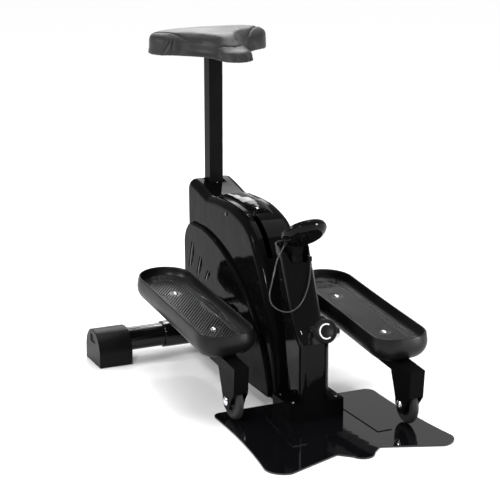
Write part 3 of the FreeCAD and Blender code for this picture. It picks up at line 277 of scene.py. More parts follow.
# PVC jacket: smooth dark grey with a soft shine.
LEAD_PVC = Finish("grey_pvc_jacket", "282a2c", "303234", 0.22, 0.05, Pattern.MOULDED, 2.0, 0.05)
# Screen print: flat white ink.
PRINT = Finish("white_screen_print", "e2e3e4", "dcdcdd", 0.45, 0.04, Pattern.SPARK, 0.5, 0.05)

SLOT_FINISH = {
    "gloss_black": GLOSS_ABS, "satin_black": SATIN_ABS, "tray_grey": TRAY_PP,
    "plate_paint": PLATE_COAT, "frame_paint": GLOSS_COAT, "post_paint": POST_COAT,
    "fork_paint": FORK_COAT, "steel": TURNED_STEEL, "chrome": CHROME, "iron": CAST_IRON,
    "alloy": CAST_ALLOY, "magnet": NICKEL, "belt": BELT_RUBBER, "tyre": TYRE_RUBBER,
    "vinyl": VINYL, "board": PLYWOOD, "circuit": LAMINATE, "window": WINDOW, "lead": LEAD_PVC,
}
NODE_FINISH = {
    "console_case": POLISHED_ABS, "console_bezel": POLISHED_ABS, "tower_left": POLISHED_ABS,
    "tower_right": POLISHED_ABS, "pedal_tube_left": FORK_COAT, "pedal_tube_right": FORK_COAT,
}


# ---------------------------------------------------------------- meshes
def link(name: str, data: bpy.types.ID) -> bpy.types.Object:
    """Make an object from its data and link it to the scene.

    Args:
        name: the object's name.
        data: a mesh, curve, light or camera.
    Returns:
        The linked object.
    """
    made = bpy.data.objects.new(name, data)
    bpy.context.scene.collection.objects.link(made)
    return made


def read_vectors(items: Any, key: str = "co") -> Grid:
    """Read a vector property of every point or face.

    Args:
        items: a mesh's vertices or polygons.
        key: the property's name.
    Returns:
        An array with three numbers in each row.
    """
    values = np.empty(len(items) * 3)
    items.foreach_get(key, values)
    return values.reshape(-1, 3)


def shade_smooth(mesh: bpy.types.Mesh) -> None:
    """Shade every face smoothly.

    Args:
        mesh: the mesh.
    """
    mesh.polygons.foreach_set("use_smooth", np.ones(len(mesh.polygons), bool))


def make_mesh(name: str, points: Grid, faces: Sequence[Sequence[int]] | Grid,
              finish: Finish) -> bpy.types.Object:
    """Make an object at the origin from points and faces.

    Args:
        name: the piece's name.
        points: N by 3 positions in metres, in the row frame.
        faces: corner indices of each face.
        finish: the piece's finish.
    Returns:
        The linked object.
    """
    mesh = bpy.data.meshes.new(name)
    mesh.from_pydata(points.tolist(), [], faces.tolist() if isinstance(faces, Grid) else faces)
    shade_smooth(mesh)
    mesh.materials.append(finish.build())
    mesh.update()
    return link(name, mesh)


def grid_faces(rows: int, columns: int, loop_rows: bool, loop_columns: bool) -> Grid:
    """Corner indices of the quads on a grid of points, row by row.

    Args:
        rows: number of rows of points.
        columns: number of points in a row.
        loop_rows: whether the last row joins the first.
        loop_columns: whether each row is a closed ring.
    Returns:
        An array of quads.
    """
    r = np.arange(rows if loop_rows else rows - 1)
    c = np.arange(columns if loop_columns else columns - 1)
    a, b = np.meshgrid(r, c, indexing="ij")
    up, across = (a + 1) % rows, (b + 1) % columns
    quads = [a * columns + b, a * columns + across, up * columns + across, up * columns + b]
    return np.stack(quads, -1).reshape(-1, 4)


def face_outwards(piece: bpy.types.Object) -> bpy.types.Object:
    """Turn a closed shell's faces outwards, by the sign of its enclosed volume.

    Args:
        piece: an object with a closed mesh.
    Returns:
        The same object.
    """
    mesh = piece.data
    mesh.calc_loop_triangles()
    corners = np.empty(len(mesh.loop_triangles) * 3, np.int64)
    mesh.loop_triangles.foreach_get("vertices", corners)
    tri = read_vectors(mesh.vertices)[corners.reshape(-1, 3)]
    volume = np.einsum("ij,ij->i", tri[:, 0], np.cross(tri[:, 1], tri[:, 2])).sum()
    if volume < 0:
        mesh.flip_normals()
    return piece


def revolve(name: str, profile: Grid, place: "Place", finish: Finish, steps: int = 96,
            wave: Grid | None = None) -> bpy.types.Object:
    """Turn a closed profile about a local Z axis: x = r cos a, y = r sin a, z = h.

    Args:
        name: the piece's name.
        profile: N by 2 of radius and height in mm, from the axis out and back to it.
        place: the local frame.
        finish: the piece's finish.
        steps: number of points round.
        wave: optional N by steps radii to add, in mm.
    Returns:
        The closed, outward-facing piece.
    """
    angle = np.linspace(0, 2 * np.pi, steps, endpoint=False)
    radius = profile[:, :1] + (0 if wave is None else wave)
    radius = np.broadcast_to(radius, (len(profile), steps))
    level = np.broadcast_to(profile[:, 1:], radius.shape)
    local = np.stack([radius * np.cos(angle), radius * np.sin(angle), level], -1).reshape(-1, 3)
    faces = grid_faces(len(profile), steps, False, True)
    piece = make_mesh(name, place.world(local), faces, finish)
    weld(piece)
    return face_outwards(piece)


def weld(piece: bpy.types.Object, reach: float = POLE_REACH) -> None:
    """Merge points that fall together, so that poles and seams are closed.

    Args:
        piece: the object.
        reach: merging distance in metres.
    """
    edit = bmesh.new()
    edit.from_mesh(piece.data)
    bmesh.ops.remove_doubles(edit, verts=edit.verts, dist=reach)
    bmesh.ops.dissolve_degenerate(edit, edges=edit.edges, dist=reach)
    edit.to_mesh(piece.data)
    edit.free()
    shade_smooth(piece.data)


@dataclass(frozen=True)
class Place:
    """A local frame: an origin in mm and a turn about X in degrees."""
    x: float
    y: float
    z: float
    turn: float = 0.0

    def world(self, local: Grid) -> Grid:
        """Points in metres in the row frame for local points in mm.

        Args:
            local: N by 3 local positions in mm.
        Returns:
            N by 3 positions in metres.
        """
        c, s = math.cos(math.radians(self.turn)), math.sin(math.radians(self.turn))
        y = local[:, 1] * c - local[:, 2] * s
        z = local[:, 1] * s + local[:, 2] * c
        return np.stack([local[:, 0] + self.x, y + self.y, z + self.z], -1) * MM


def smooth_step(value: Grid, low: float, high: float) -> Grid:
    """A soft ramp from 0 at low to 1 at high: t squared times (3 - 2t).

    Args:
        value: the values to ramp.
        low: where the ramp starts.
        high: where it ends.
    Returns:
        The ramp's height at each value.
    """
    t = np.clip((value - low) / (high - low), 0, 1)
    return t * t * (3 - 2 * t)


# ---------------------------------------------------------------- frame parts
@dataclass
class FrameParts:
    """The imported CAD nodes: each gets its slot's finish, welded facets and a small edge break."""
    nodes: dict[str, bpy.types.Object]
    record: dict[str, Any]
    edge_mm: float = 0.8
    flat_degrees: float = 0.6
    edge_degrees: float = 32.0
    sharp: tuple[str, ...] = ("drive_belt", "flywheel_bearings", "crank_bearings", "socket_liner")
    wide_edge: dict[str, float] = field(default_factory=lambda: {
        "base_cover": 1.6, "console_case": 1.4, "console_bezel": 1.0, "end_cap_left": 2.2,
        "end_cap_right": 2.2, "hood": 1.8, "side_cover_left": 1.6, "side_cover_right": 1.6,
        "tower_left": 1.0, "tower_right": 1.0})

    def dress(self) -> None:
        """Give every node its material and its edge break."""
        slots = {row["node"]: row["material_slot"] for row in self.record["subparts"]}
        for name, part in self.nodes.items():
            finish = NODE_FINISH.get(name, SLOT_FINISH[slots[name]])
            part.data.materials.clear()
            part.data.materials.append(finish.build())
            first = np.zeros(len(part.data.polygons), int)
            part.data.polygons.foreach_set("material_index", first)
            self.break_edges(name, part)
        self.chrome_ledge(self.nodes["cover_screws"])
        LOG.info("dressed %d nodes", len(self.nodes))

    @staticmethod
    def chrome_ledge(part: bpy.types.Object, level: float = 0.05, wall: float = 0.0475) -> None:
        """Chrome the screws on the base cover's ledge and blacken those in the housing.

        Args:
            part: the screws' node.
            level: height in metres above which a screw is the housing's.
            wall: distance from the middle in metres beyond which it is too.
        """
        part.data.materials.clear()
        part.data.materials.append(CHROME.build())
        part.data.materials.append(GLOSS_COAT.build())
        spots = read_vectors(part.data.polygons, "center")
        dark = (spots[:, 2] > level) | (np.abs(spots[:, 0]) > wall)
        part.data.polygons.foreach_set("material_index", dark.astype(int))

    def break_edges(self, name: str, part: bpy.types.Object) -> None:
        """Weld the facets, join flat ones, round the edges and shade smoothly.

        Args:
            name: the node's name.
            part: its object.
        """
        mesh = part.data
        if "custom_normal" in mesh.attributes:
            mesh.attributes.remove(mesh.attributes["custom_normal"])
        shade_smooth(mesh)
        join = part.modifiers.new("weld", "WELD")
        join.merge_threshold = FACET_REACH
        flat = part.modifiers.new("flat", "DECIMATE")
        flat.decimate_type = "DISSOLVE"
        flat.angle_limit = math.radians(self.flat_degrees)
        if name not in self.sharp:
            bevel = part.modifiers.new("edge", "BEVEL")
            bevel.limit_method = "ANGLE"
            bevel.angle_limit = math.radians(self.edge_degrees)
            bevel.width = self.wide_edge.get(name, self.edge_mm) * MM
            bevel.segments = 2
            bevel.harden_normals = True
        even = part.modifiers.new("even", "WEIGHTED_NORMAL")
        even.keep_sharp = True


# ---------------------------------------------------------------- pedals
# A tray's wall as inset from its rim and height, in mm: up the inside, over the rim, down the
# outside, round the foot, and back up under the bed.
TRAY_WALL = (
    (17.4, 38.5), (15.2, 39.7), (12.8, 41.6), (10.6, 44.4), (8.8, 48.2), (7.6, 52.6),
    (6.8, 56.2), (6.2, 58.6), (5.4, 59.7), (4.4, 60.0), (3.4, 59.6), (2.8, 58.5),
    (2.4, 56.5), (1.5, 52.5), (0.7, 48.0), (0.2, 44.0), (0.0, 40.0), (0.3, 35.5),
    (1.5, 30.0), (3.9, 24.5), (7.6, 19.2), (12.0, 15.2), (16.0, 13.3), (18.0, 13.0),
    (19.0, 13.4), (19.2, 14.6), (14.6, 19.0), (10.2, 25.0), (8.4, 31.0), (10.5, 33.6),
    (14.0, 34.0), (30.0, 34.0), (60.0, 34.0),
)
BED_FOOT = 4  # points at the wall's foot that the bed's relief still lifts


@dataclass
class FootTray:
    """A moulded foot tray: bulged wall, rolled rim, and a bed with dashed ridges and fine ribs.

    Positions are in the pedal's own frame, in mm, from the pedal pin.
    """
    word: str
    side: int
    place: Place
    half: float = 60.0
    front: float = -306.0
    rear: float = 90.0
    toe: float = 52.0
    blunt: float = 0.72
    floor: float = 38.0
    bed_edge: float = 19.0
    bed_rows: int = 76
    screws: tuple[float, float] = (-16.0, -214.0)
    dash_rows: tuple[float, float, float] = (15.5, 20.5, 25.5)
    dash_high: float = 2.2
    rib_high: float = 1.3

    def ring(self, per_side: int, per_end: int) -> tuple[Grid, Grid]:
        """Points round the tray: a half-round heel, sides that bow in a little, a blunt round toe.

        The toe is a superellipse: x = a cos(t)^0.72, y = b sin(t)^0.72.

        Args:
            per_side: points along each straight side.
            per_end: points round each end.
        Returns:
            Rim points and spine points.
        """
        rear_y, front_y = self.rear - self.half, self.front + self.toe
        heel = np.linspace(0, np.pi, per_end)
        rim = [np.stack([self.half * np.cos(heel), rear_y + self.half * np.sin(heel)], -1)]
        spine = [np.stack([0 * heel, 0 * heel + rear_y], -1)]
        run = np.linspace(0, 1, per_side + 2)[1:-1]
        bow = 1.5 * np.sin(np.pi * run)
        down = rear_y + (front_y - rear_y) * run
        rim.append(np.stack([-self.half + bow, down], -1))
        spine.append(np.stack([0 * run, down], -1))
        toe = np.linspace(0, np.pi, per_end)
        c, s = np.cos(toe), np.sin(toe)
        rim.append(np.stack([-self.half * np.sign(c) * np.abs(c) ** self.blunt,
                             front_y - self.toe * s ** self.blunt], -1))
        spine.append(np.stack([0 * toe, 0 * toe + front_y], -1))
        rim.append(np.stack([self.half - bow[::-1], down[::-1]], -1))
        spine.append(np.stack([0 * run, down[::-1]], -1))
        return np.concatenate(rim), np.concatenate(spine)

    def relief(self, x: Grid, y: Grid, inset: Grid) -> Grid:
        """Height of the bed over its floor, in mm.

        Three rows of dashes run 15.5, 20.5 and 25.5 mm in from the rim, with fine diagonal
        ribs inside them and a bump for the arch with its own curved ridges. Dashes and ribs
        fade out round each screw.

        Args:
            x: distance across, towards the outside of the machine.
            y: distance along.
            inset: distance in from the rim.
        Returns:
            The height at each point.
        """
        dash = 0.55 + 0.45 * np.cos(2 * np.pi * (y + 0.5 * x) / 6.0)
        ridges = sum(self.dash_high * dash * np.exp(-((inset - at) / 1.4) ** 2)
                     for at in self.dash_rows)
        inside = smooth_step(inset, 28, 31)
        ribs = self.rib_high * (0.5 + 0.5 * np.cos(2 * np.pi * (x + 0.8 * y) / 7.0)) * inside
        for at in self.screws:
            away = np.hypot(x, y - at)
            ribs = ribs * smooth_step(away, 11, 15)
            ridges = ridges * smooth_step(away, 8, 11)
        arch = np.exp(-((x + 44) / 17) ** 2 - ((y + 118) / 52) ** 2)
        reach = np.hypot((x + 60) * 1.6, (y + 118) * 0.62)
        curves = 0.6 * (0.5 + 0.5 * np.cos(2 * np.pi * reach / 7.5)) * smooth_step(arch, 0.15, 0.5)
        ribs = ribs * (1 - smooth_step(arch, 0.1, 0.4))
        return ridges + ribs + (7.0 * arch + curves) * smooth_step(inset, 12, 22)

    def build(self) -> bpy.types.Object:
        """Sweep the wall's profile round the plan, with the bed as its inner part.

        A profile gives inset and height; a point is rim + (spine - rim) * inset / half width.

        Returns:
            The tray, riding on its pedal.
        """
        rim, spine = self.ring(220, 100)
        bed = np.linspace(self.half, self.bed_edge, self.bed_rows)
        profile = np.array([(d, self.floor) for d in bed] + list(TRAY_WALL))
        inset = profile[:, :1]
        level = np.broadcast_to(profile[:, 1:], (len(profile), len(rim))).copy()
        flat = rim[None] + (spine - rim)[None] * (inset / self.half)[..., None]
        insets = np.broadcast_to(inset, level.shape)
        lift = self.relief(flat[..., 0] * self.side, flat[..., 1], insets)
        level[:len(bed) + BED_FOOT] += lift[:len(bed) + BED_FOOT]
        local = np.concatenate([flat, level[..., None]], -1).reshape(-1, 3)
        faces = grid_faces(len(profile), len(rim), False, True)
        piece = make_mesh(f"foot_tray_{self.word}", self.place.world(local), faces, TRAY_PP)
        weld(piece, FACET_REACH)
        face_outwards(piece)
        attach(piece, f"{self.word}_pedal")
        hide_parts(f"pedal_tray_{self.word}")
        LOG.info("tray %s: %d faces", self.word, len(faces))
        return piece


@dataclass
class PedalWheel:
    """A caster's tyre with a round tread, on the CAD hub."""
    word: str
    place: Place
    radius: float = 37.5
    half: float = 7.0
    hub: float = 22.0
    crown: float = 6.5
    steps: int = 96

    def build(self) -> bpy.types.Object:
        """Turn the tyre's profile about X: half an ellipse for the tread, grooved cheeks.

        Returns:
            The tyre, riding on its wheel.
        """
        turn = np.linspace(-np.pi / 2, np.pi / 2, 25)
        tread = np.stack([self.radius - self.crown + self.crown * np.cos(turn),
                          self.half * np.sin(turn)], -1)
        groove = np.array([(self.hub + 5, 6.7), (self.hub + 4, 6.2), (self.hub + 3, 6.6),
                           (self.hub + 0.05, 6.5)])
        profile = np.concatenate([groove[::-1] * (1, -1), tread, groove])
        profile = np.concatenate([profile, profile[:1]])
        angle = np.linspace(0, 2 * np.pi, self.steps, endpoint=False)
        ring = np.stack([np.broadcast_to(profile[:, 1:], (len(profile), self.steps)),
                         profile[:, :1] * np.cos(angle), profile[:, :1] * np.sin(angle)], -1)
        faces = grid_faces(len(profile), self.steps, False, True)
        points = self.place.world(ring.reshape(-1, 3))
        piece = make_mesh(f"tyre_{self.word}", points, faces, TYRE_RUBBER)
        weld(piece)
        face_outwards(piece)
        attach(piece, f"{self.word}_wheel")
        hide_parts(f"wheel_tyre_{self.word}")
        LOG.info("tyre %s", self.word)
        return piece


# ---------------------------------------------------------------- tension knob
@dataclass
class TensionKnob:
    """The tension knob: a grip with moulded flutes and a printed arc on its face."""
    place: Place
    radius: float = 23.0
    thick: float = 15.0
    flutes: int = 36
    steps: int = 288
    bore: float = 5.05
    arc_degrees: tuple[float, float] = (58.0, 300.0)
    arc_radii: tuple[float, float] = (11.8, 14.9)
    arc_points: int = 120
    ink_mm: float = 0.15

    def build(self) -> None:
        """Turn the grip with fluted sides, and lay the arc on its face."""
        low, top = -self.thick, 0.0
        rim = self.radius
        profile = np.array([
            (0.0, low), (self.bore, low), (self.bore, low), (rim - 4, low), (rim - 1, low + 1.4),
            (rim, low + 3), (rim, top - 4), (rim - 0.5, top - 2.6), (rim - 1.6, top - 1.5),
            (rim - 3.2, top - 1.0), (rim - 4.0, top - 1.2), (rim - 4.6, top - 1.9),
            (12.4, top - 1.9), (11.9, top - 1.6), (11.4, top - 1.0), (10.6, top - 0.7),
            (0.0, top - 0.6)])
        angle = np.linspace(0, 2 * np.pi, self.steps, endpoint=False)
        side = np.array([0, 0, 0, 0, .5, 1, 1, .8, .3, 0, 0, 0, 0, 0, 0, 0, 0])[:, None]
        wave = -0.8 * side * np.clip(np.cos(self.flutes * angle), -0.2, 1)[None]
        grip = revolve("knob_grip", profile, self.place, SATIN_ABS, self.steps, wave)
        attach(grip, "knob")
        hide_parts("tension_knob")
        sweep = np.radians(np.linspace(*self.arc_degrees, self.arc_points))
        around, across = np.meshgrid(sweep, np.linspace(*self.arc_radii, 3), indexing="ij")
        level = np.full(around.shape, top - 1.8)
        local = np.stack([across * np.cos(around), across * np.sin(around), level], -1)
        faces = grid_faces(self.arc_points, 3, False, False)
        arc = make_mesh("knob_arc", self.place.world(local.reshape(-1, 3)), faces, PRINT)
        solid = arc.modifiers.new("ink", "SOLIDIFY")
        solid.thickness = self.ink_mm * MM
        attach(arc, "knob")
        LOG.info("knob with %d flutes", self.flutes)


# ---------------------------------------------------------------- crest and vents
@dataclass
class CrestHood:
    """The crowned strip on the housing's crest, with swept rear corners."""
    rear: float = 212.0
    front: float = 60.0
    half: float = 25.0
    lift: float = 5.2
    crest_y: tuple[float, ...] = (
        50.0, 67.25, 84.5, 101.75, 119.0, 148.75, 178.5, 208.25, 238.0)
    crest_z: tuple[float, ...] = (
        341.0, 346.3, 350.6, 353.8, 356.0, 356.4, 355.53, 353.4, 350.0)

    def build(self) -> bpy.types.Object:
        """Sweep an arch along the crest: z = crest(y) + lift (1 - |u|^2.6) between soft ends.

        The strip flares by 14 mm at its rear, where its middle is swept 9 mm forwards.

        Returns:
            The hood, riding on the frame.
        """
        t = np.linspace(0, 1, 90)[:, None]
        u = np.linspace(-1, 1, 41)[None]
        half = self.half + 14 * np.exp(-t / 0.09) - 3 * smooth_step(t, 0.6, 1.0)
        round_end = 1 - u ** 2
        sweep = (10 * (1 - np.abs(u)) ** 1.4 * np.exp(-t / 0.12)
                 - 14 * round_end * smooth_step(t, 0.85, 1.0))
        y = (self.rear + (self.front - self.rear) * t - sweep * 0.9
             + 8 * round_end * smooth_step(t, 0.9, 1.0))
        x = half * u
        crest = np.interp(y, self.crest_y, self.crest_z)
        arch = 1 - np.abs(u) ** 2.6
        ends = smooth_step(t, 0.0, 0.05) * (1 - smooth_step(t, 0.96, 1.0))
        top = crest + 0.5 + (0.4 + self.lift * arch) * (0.15 + 0.85 * ends)
        low = crest - 1.0 + 0 * u
        upper = np.stack([x + 0 * y, y, top], -1)
        lower = np.stack([x + 0 * y, y, low], -1)[:, ::-1]
        ring = np.concatenate([upper, lower], 1)
        count = ring.shape[1]
        faces = grid_faces(len(t), count, False, True).tolist()
        faces += [list(range(count))[::-1], [(len(t) - 1) * count + i for i in range(count)]]
        piece = make_mesh("crest_hood", ring.reshape(-1, 3) * MM, faces, POLISHED_ABS)
        weld(piece)
        face_outwards(piece)
        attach(piece, "frame")
        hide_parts("hood")
        LOG.info("crest hood")
        return piece


@dataclass
class VentLips:
    """Crescent lips moulded beside the three slits in each side cover."""
    face: float = 56.0
    half_wide: float = 4.2
    bulge: float = 2.5
    crown: float = 2.6
    wall_mm: float = 0.6
    slits: tuple[Point, ...] = ((305, 209, 29), (262, 196, 21), (220, 186, 12))

    def build(self) -> None:
        """Raise a lens-shaped crown along each slit.

        Along the slit s and across it v, both from -1 to 1, the half width is w (1 - s^2)
        and the height h (1 - v^2)(1 - s^2).
        """
        for word, side in (("left", 1), ("right", -1)):
            for number, (y, z, rise) in enumerate(self.slits):
                s, v = np.meshgrid(np.linspace(-1, 1, 33), np.linspace(-1, 1, 13), indexing="ij")
                wide = self.half_wide * (1 - s ** 2)
                bow = self.bulge * (1 - s ** 2)
                along_y = y - 2.0 - 8.5 * s - 4.0 - bow + wide * v
                along_z = z + rise * 1.02 * s
                out = side * (self.face + self.crown * (1 - v ** 2) * (1 - s ** 2) - 0.2)
                points = np.stack([out, along_y, along_z], -1).reshape(-1, 3) * MM
                faces = grid_faces(33, 13, False, False)
                lip = make_mesh(f"vent_lip_{word}_{number}", points, faces, GLOSS_COAT)
                weld(lip)
                if side > 0:
                    lip.data.flip_normals()
                wall = lip.modifiers.new("wall", "SOLIDIFY")
                wall.thickness = self.wall_mm * MM
                wall.offset = -1.0
                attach(lip, "frame")
        LOG.info("vent lips")


# ---------------------------------------------------------------- seat
@dataclass
class Saddle:
    """The padded saddle: a stuffed vinyl cover with a panel seam and small creases."""
    source: bpy.types.Object
    seam: tuple[tuple[float, float], ...]
    swell: float = 9.0
    voxel: float = 4.8
    frames: int = 20
    seam_deep: float = 2.4
    seam_wide: float = 2.2

    def build(self) -> bpy.types.Object:
        """Remesh the pan's solid, blow it up as cloth, then sew the seam and creases.

        Returns:
            The cushion, riding on the seat.
        """
        piece = link("saddle", self.source.data.copy())
        weld(piece, FACET_REACH)
        self.apply(piece, "REMESH", {"mode": "VOXEL", "voxel_size": self.voxel * MM,
                                     "use_smooth_shade": True})
        self.inflate(piece)
        self.apply(piece, "SMOOTH", {"factor": 0.5, "iterations": 6})
        self.apply(piece, "SUBSURF", {"levels": 2, "render_levels": 2})
        self.sew(piece)
        piece.data.materials.clear()
        piece.data.materials.append(VINYL.build())
        shade_smooth(piece.data)
        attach(piece, "seat")
        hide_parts("seat_cushion")
        LOG.info("saddle: %d faces", len(piece.data.polygons))
        return piece

    @staticmethod
    def apply(piece: bpy.types.Object, kind: str, settings: dict[str, Any]) -> None:
        """Add a modifier, set it and apply it.

        Args:
            piece: the object.
            kind: the modifier's type.
            settings: its properties.
        """
        step = piece.modifiers.new(kind.lower(), kind)
        for name, value in settings.items():
            setattr(step, name, value)
        bpy.context.view_layer.objects.active = piece
        bpy.ops.object.modifier_apply(modifier=step.name)

    def inflate(self, piece: bpy.types.Object) -> None:
        """Run the cloth under pressure and cap how far each point may move.

        Args:
            piece: the remeshed cover.
        """
        start = read_vectors(piece.data.vertices)
        cloth = piece.modifiers.new("cloth", "CLOTH")
        cloth.settings.use_pressure = True
        cloth.settings.uniform_pressure_force = 4.0
        cloth.settings.effector_weights.gravity = 0.0
        cloth.settings.quality = 6
        for frame in range(1, self.frames + 1):
            bpy.context.scene.frame_set(frame)
        settled = piece.evaluated_get(bpy.context.evaluated_depsgraph_get()).data
        move = read_vectors(settled.vertices) - start
        far = np.linalg.norm(move, axis=1, keepdims=True)
        move *= np.minimum(1, self.swell * MM / np.maximum(far, 1e-9))
        base = start[:, 2].min()
        held = smooth_step(start[:, 2], base + 2 * MM, base + 12 * MM)[:, None]
        piece.modifiers.remove(cloth)
        bpy.context.scene.frame_set(1)
        piece.data.vertices.foreach_set("co", (start + move * held).ravel())
        piece.data.update()

    def sew(self, piece: bpy.types.Object) -> None:
        """Fit the cover to its box, lower its nose, draw the seam in and fold the wall.

        The nose falls to half its height by a soft ramp. The seam's depth is 2.4 mm times
        exp(-(d / 2.2 mm)^2), with d the distance to its line in plan. The wall has cubed
        sine folds at the front and two slanting ones at a rear corner, and the creases are
        a slow wave across the nose's shoulders.

        Args:
            piece: the swollen cover.
        """
        co = read_vectors(piece.data.vertices)
        low, high = (np.array(v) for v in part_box("seat_cushion"))
        grown = np.maximum(co.max(0) - co.min(0), 1e-9)
        co = (co - co.min(0)) / grown * (high - low) + low
        fall = (1 - 0.5 * smooth_step(-co[:, 1], -0.252, -0.180)
                * smooth_step(-np.abs(co[:, 0]), -0.075, -0.045))
        co[:, 2] = low[2] + (co[:, 2] - low[2]) * fall
        top = smooth_step((co[:, 2] - low[2]) / fall, 10 * MM, 20 * MM)
        line = np.array(self.seam) * MM
        for sign in (1, -1):
            run = line * (sign, 1)
            a, b = run[:-1], run[1:]
            leg = b - a
            rel = co[:, None, :2] - a[None]
            t = np.clip((rel * leg).sum(-1) / (leg ** 2).sum(-1), 0, 1)
            gap = np.linalg.norm(rel - t[..., None] * leg, axis=-1).min(1)
            co[:, 2] -= self.seam_deep * MM * np.exp(-(gap / (self.seam_wide * MM)) ** 2) * top
        wall = 1 - smooth_step((co[:, 2] - low[2]) / fall, 26 * MM, 36 * MM)
        wall *= smooth_step((co[:, 2] - low[2]) / fall, 1 * MM, 8 * MM)
        front = wall * smooth_step(-co[:, 1], -0.240, -0.205)
        wave = np.sin(co[:, 0] / (2.6 * MM) + (co[:, 2] - low[2]) * 60) ** 3
        co[:, 1] += front * 2.4 * MM * wave
        for tilt, spot in ((0.5, 13.0), (0.25, 27.0)):
            fold = co[:, 0] - low[0] - spot * MM - tilt * (co[:, 2] - low[2])
            co[:, 1] += 2.6 * MM * wall * np.exp(-(fold / (2.2 * MM)) ** 2)
        nose = np.exp(-((co[:, 1] - 0.225) / 0.05) ** 2)
        across = np.abs(co[:, 0])
        crease = np.sin(co[:, 1] * 260 + 30 * across) * np.exp(-((across - 0.045) / 0.02) ** 2)
        co[:, 2] -= 0.5 * MM * np.maximum(crease, 0) * nose * top
        piece.data.vertices.foreach_set("co", co.ravel())
        piece.data.update()


# ---------------------------------------------------------------- sensor lead
@dataclass
class SensorLead:
    """The thin lead that hangs from the pod, curls and goes back into the tower."""
    route: tuple[Point, ...]
    radius: float = 1.3
    length: float = 0.2707

    def build(self) -> bpy.types.Object:
        """Lay a smooth spline on the route's points.

        Returns:
            The lead, riding on the frame.
        """
        curve = bpy.data.curves.new("lead", "CURVE")
        curve.dimensions = "3D"
        spline = curve.splines.new("NURBS")
        spline.points.add(len(self.route) - 1)
        for point, spot in zip(spline.points, self.route):
            point.co = (*(v * MM for v in spot), 1.0)
        spline.order_u = 3
        spline.use_endpoint_u = True
        spline.resolution_u = 16
        curve.bevel_depth = self.radius * MM
        curve.bevel_resolution = 5
        curve.use_fill_caps = True
        curve.materials.append(LEAD_PVC.build())
        piece = link("lead", curve)
        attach(piece, "frame")
        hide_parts("sensor_lead")
        LOG.info("lead of %.0f mm", self.length / MM)
        return piece


# ---------------------------------------------------------------- studio
# Each soft box: its name, place and aim in metres, width, watts, and height where it isn't square.
SOFT_BOXES = (
    ("key", (-2.5, 0.3, 1.4), (0.0, 0.1, 0.3), 0.7, 34.0),
    ("toe", (1.9, -2.0, 0.20), (0.0, -0.15, 0.15), 0.35, 40.0),
    ("shoulder", (-1.29, -1.37, 1.38), (0.0, 0.0, 0.22), 0.15, 18.0),
    ("crest", (0.85, 2.8, 1.65), (0.0, 0.1, 0.36), 1.1, 20.0, 1.2),
    ("glint", (0.67, 1.4, 1.8), (0.0, -0.1, 0.33), 0.2, 7.0),
    ("glint_left", (0.1, 1.5, 1.85), (0.0, -0.1, 0.33), 0.2, 7.0),
)


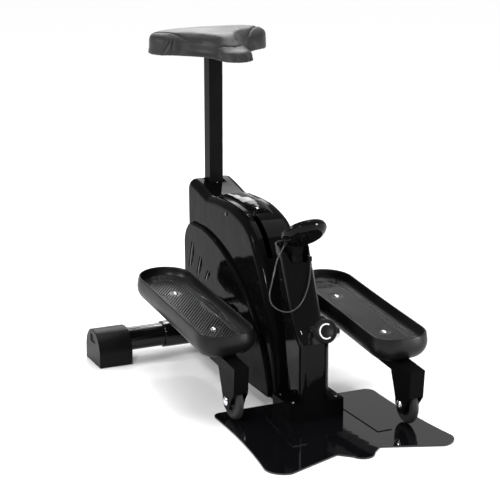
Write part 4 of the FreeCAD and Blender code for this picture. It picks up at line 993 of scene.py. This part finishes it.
@dataclass
class Studio:
    """Pale floor, soft boxes and the camera."""
    eye: Point = (-1.3305, -2.7950, 1.1625)
    back: Point = (-0.3988, -0.8759, 0.2714)
    lens: float = 119.05
    sensor: float = 36.0
    ambient: float = 0.48
    floor_half: float = 60.0
    floor_drop: float = 4e-4

    def build(self) -> None:
        """Set the world, the floor, the lights and the camera."""
        world = bpy.data.worlds.new("studio")
        bpy.context.scene.world = world
        world.use_nodes = True
        sky = world.node_tree.nodes["Background"]
        sky.inputs["Color"].default_value = linear("ffffff")
        sky.inputs["Strength"].default_value = self.ambient
        self.lay_floor()
        self.hang_sun("sky", (0.7, -0.1, 2.4), 2.0, 50.0)
        for box in SOFT_BOXES:
            self.hang_light(*box)
        camera = bpy.data.cameras.new("camera")
        camera.lens = self.lens
        camera.sensor_width = self.sensor
        eye = link("camera", camera)
        eye.location = self.eye
        eye.rotation_euler = Vector(self.back).to_track_quat("Z", "Y").to_euler()
        bpy.context.scene.camera = eye
        bpy.context.scene.view_settings.view_transform = "Standard"

    def lay_floor(self) -> None:
        """Lay a wide pale floor just under the feet."""
        corners = np.array([(-1, -1, 0), (1, -1, 0), (1, 1, 0), (-1, 1, 0)])
        points = corners * self.floor_half - (0, 0, self.floor_drop)
        pale = Finish("pale_studio_floor", "fafafa", "f8f8f8", 0.6, 0.05,
                      Pattern.MOULDED, 40.0, 0.02)
        floor = make_mesh("floor", points, [[0, 1, 2, 3]], pale)

    @staticmethod
    def hang_sun(name: str, spot: Point, power: float, spread: float) -> None:
        """Hang a very soft overhead light.

        Args:
            name: the light's name.
            spot: the direction it comes from.
            power: its strength in watts per square metre.
            spread: its angle across, in degrees.
        """
        lamp = bpy.data.lights.new(name, "SUN")
        lamp.energy = power
        lamp.angle = math.radians(spread)
        piece = link(name, lamp)
        piece.rotation_euler = Vector(spot).to_track_quat("Z", "Y").to_euler()

    @staticmethod
    def hang_light(name: str, spot: Point, aim: Point, size: float, power: float,
                   height: float = 0.0) -> None:
        """Hang a soft box.

        Args:
            name: the light's name.
            spot: where it hangs, in metres.
            aim: what it faces.
            size: its width in metres.
            power: its power in watts.
            height: its height in metres, or 0 for a square one.
        """
        lamp = bpy.data.lights.new(name, "AREA")
        lamp.shape = "RECTANGLE"
        lamp.size = size
        lamp.size_y = height or size
        lamp.energy = power
        piece = link(name, lamp)
        piece.location = spot
        piece.rotation_euler = (Vector(spot) - Vector(aim)).to_track_quat("Z", "Y").to_euler()


# ---------------------------------------------------------------- layout
PIN_SPOTS = {"left": (1, 144.6, 43.4), "right": (-1, -144.6, 194.6)}  # side, x and y in mm
PIN_HIGH = 133.0
TRAY_PITCH = 4.4
KNOB_SPOT = (0.0, -216.0, 189.0)
KNOB_LEAN = 16.0
LEAD_ROUTE = (
    (-38, -111, 331), (-43, -110, 321), (-52, -108, 304), (-59, -111, 280), (-68, -119, 260),
    (-76, -126, 244), (-75, -132, 227), (-62, -138, 215), (-46, -142, 209.5), (-31, -143, 212.5),
    (-17, -140, 222), (-5, -134.5, 235), (7, -125.5, 254), (15, -115.5, 274), (19, -109, 285),
    (19.5, -107, 293),
)
SEAM = (
    (0.0, 200.0), (14.0, 203.0), (24.0, 214.0), (32.0, 236.0), (47.0, 267.0), (70.0, 289.0),
    (96.0, 320.0), (117.0, 348.0), (128.0, 356.0),
)


def main() -> None:
    """Build every piece in order."""
    logging.basicConfig(level=logging.INFO)
    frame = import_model()
    FrameParts(frame["nodes"], frame["record"]).dress()
    joints = {joint["name"]: joint for joint in frame["joints"]}
    for word, (side, x, y) in PIN_SPOTS.items():
        FootTray(word, side, Place(x, y, PIN_HIGH, TRAY_PITCH)).build()
        hub = joints[f"{word}_wheel_spin"]["pos_m"]
        PedalWheel(word, Place(*(v / MM for v in hub))).build()
    TensionKnob(Place(*KNOB_SPOT, 90.0 - KNOB_LEAN)).build()
    CrestHood().build()
    VentLips().build()
    Saddle(frame["nodes"]["seat_cushion"], SEAM).build()
    SensorLead(LEAD_ROUTE).build()
    Studio().build()


if __name__ == "__main__":
    main()
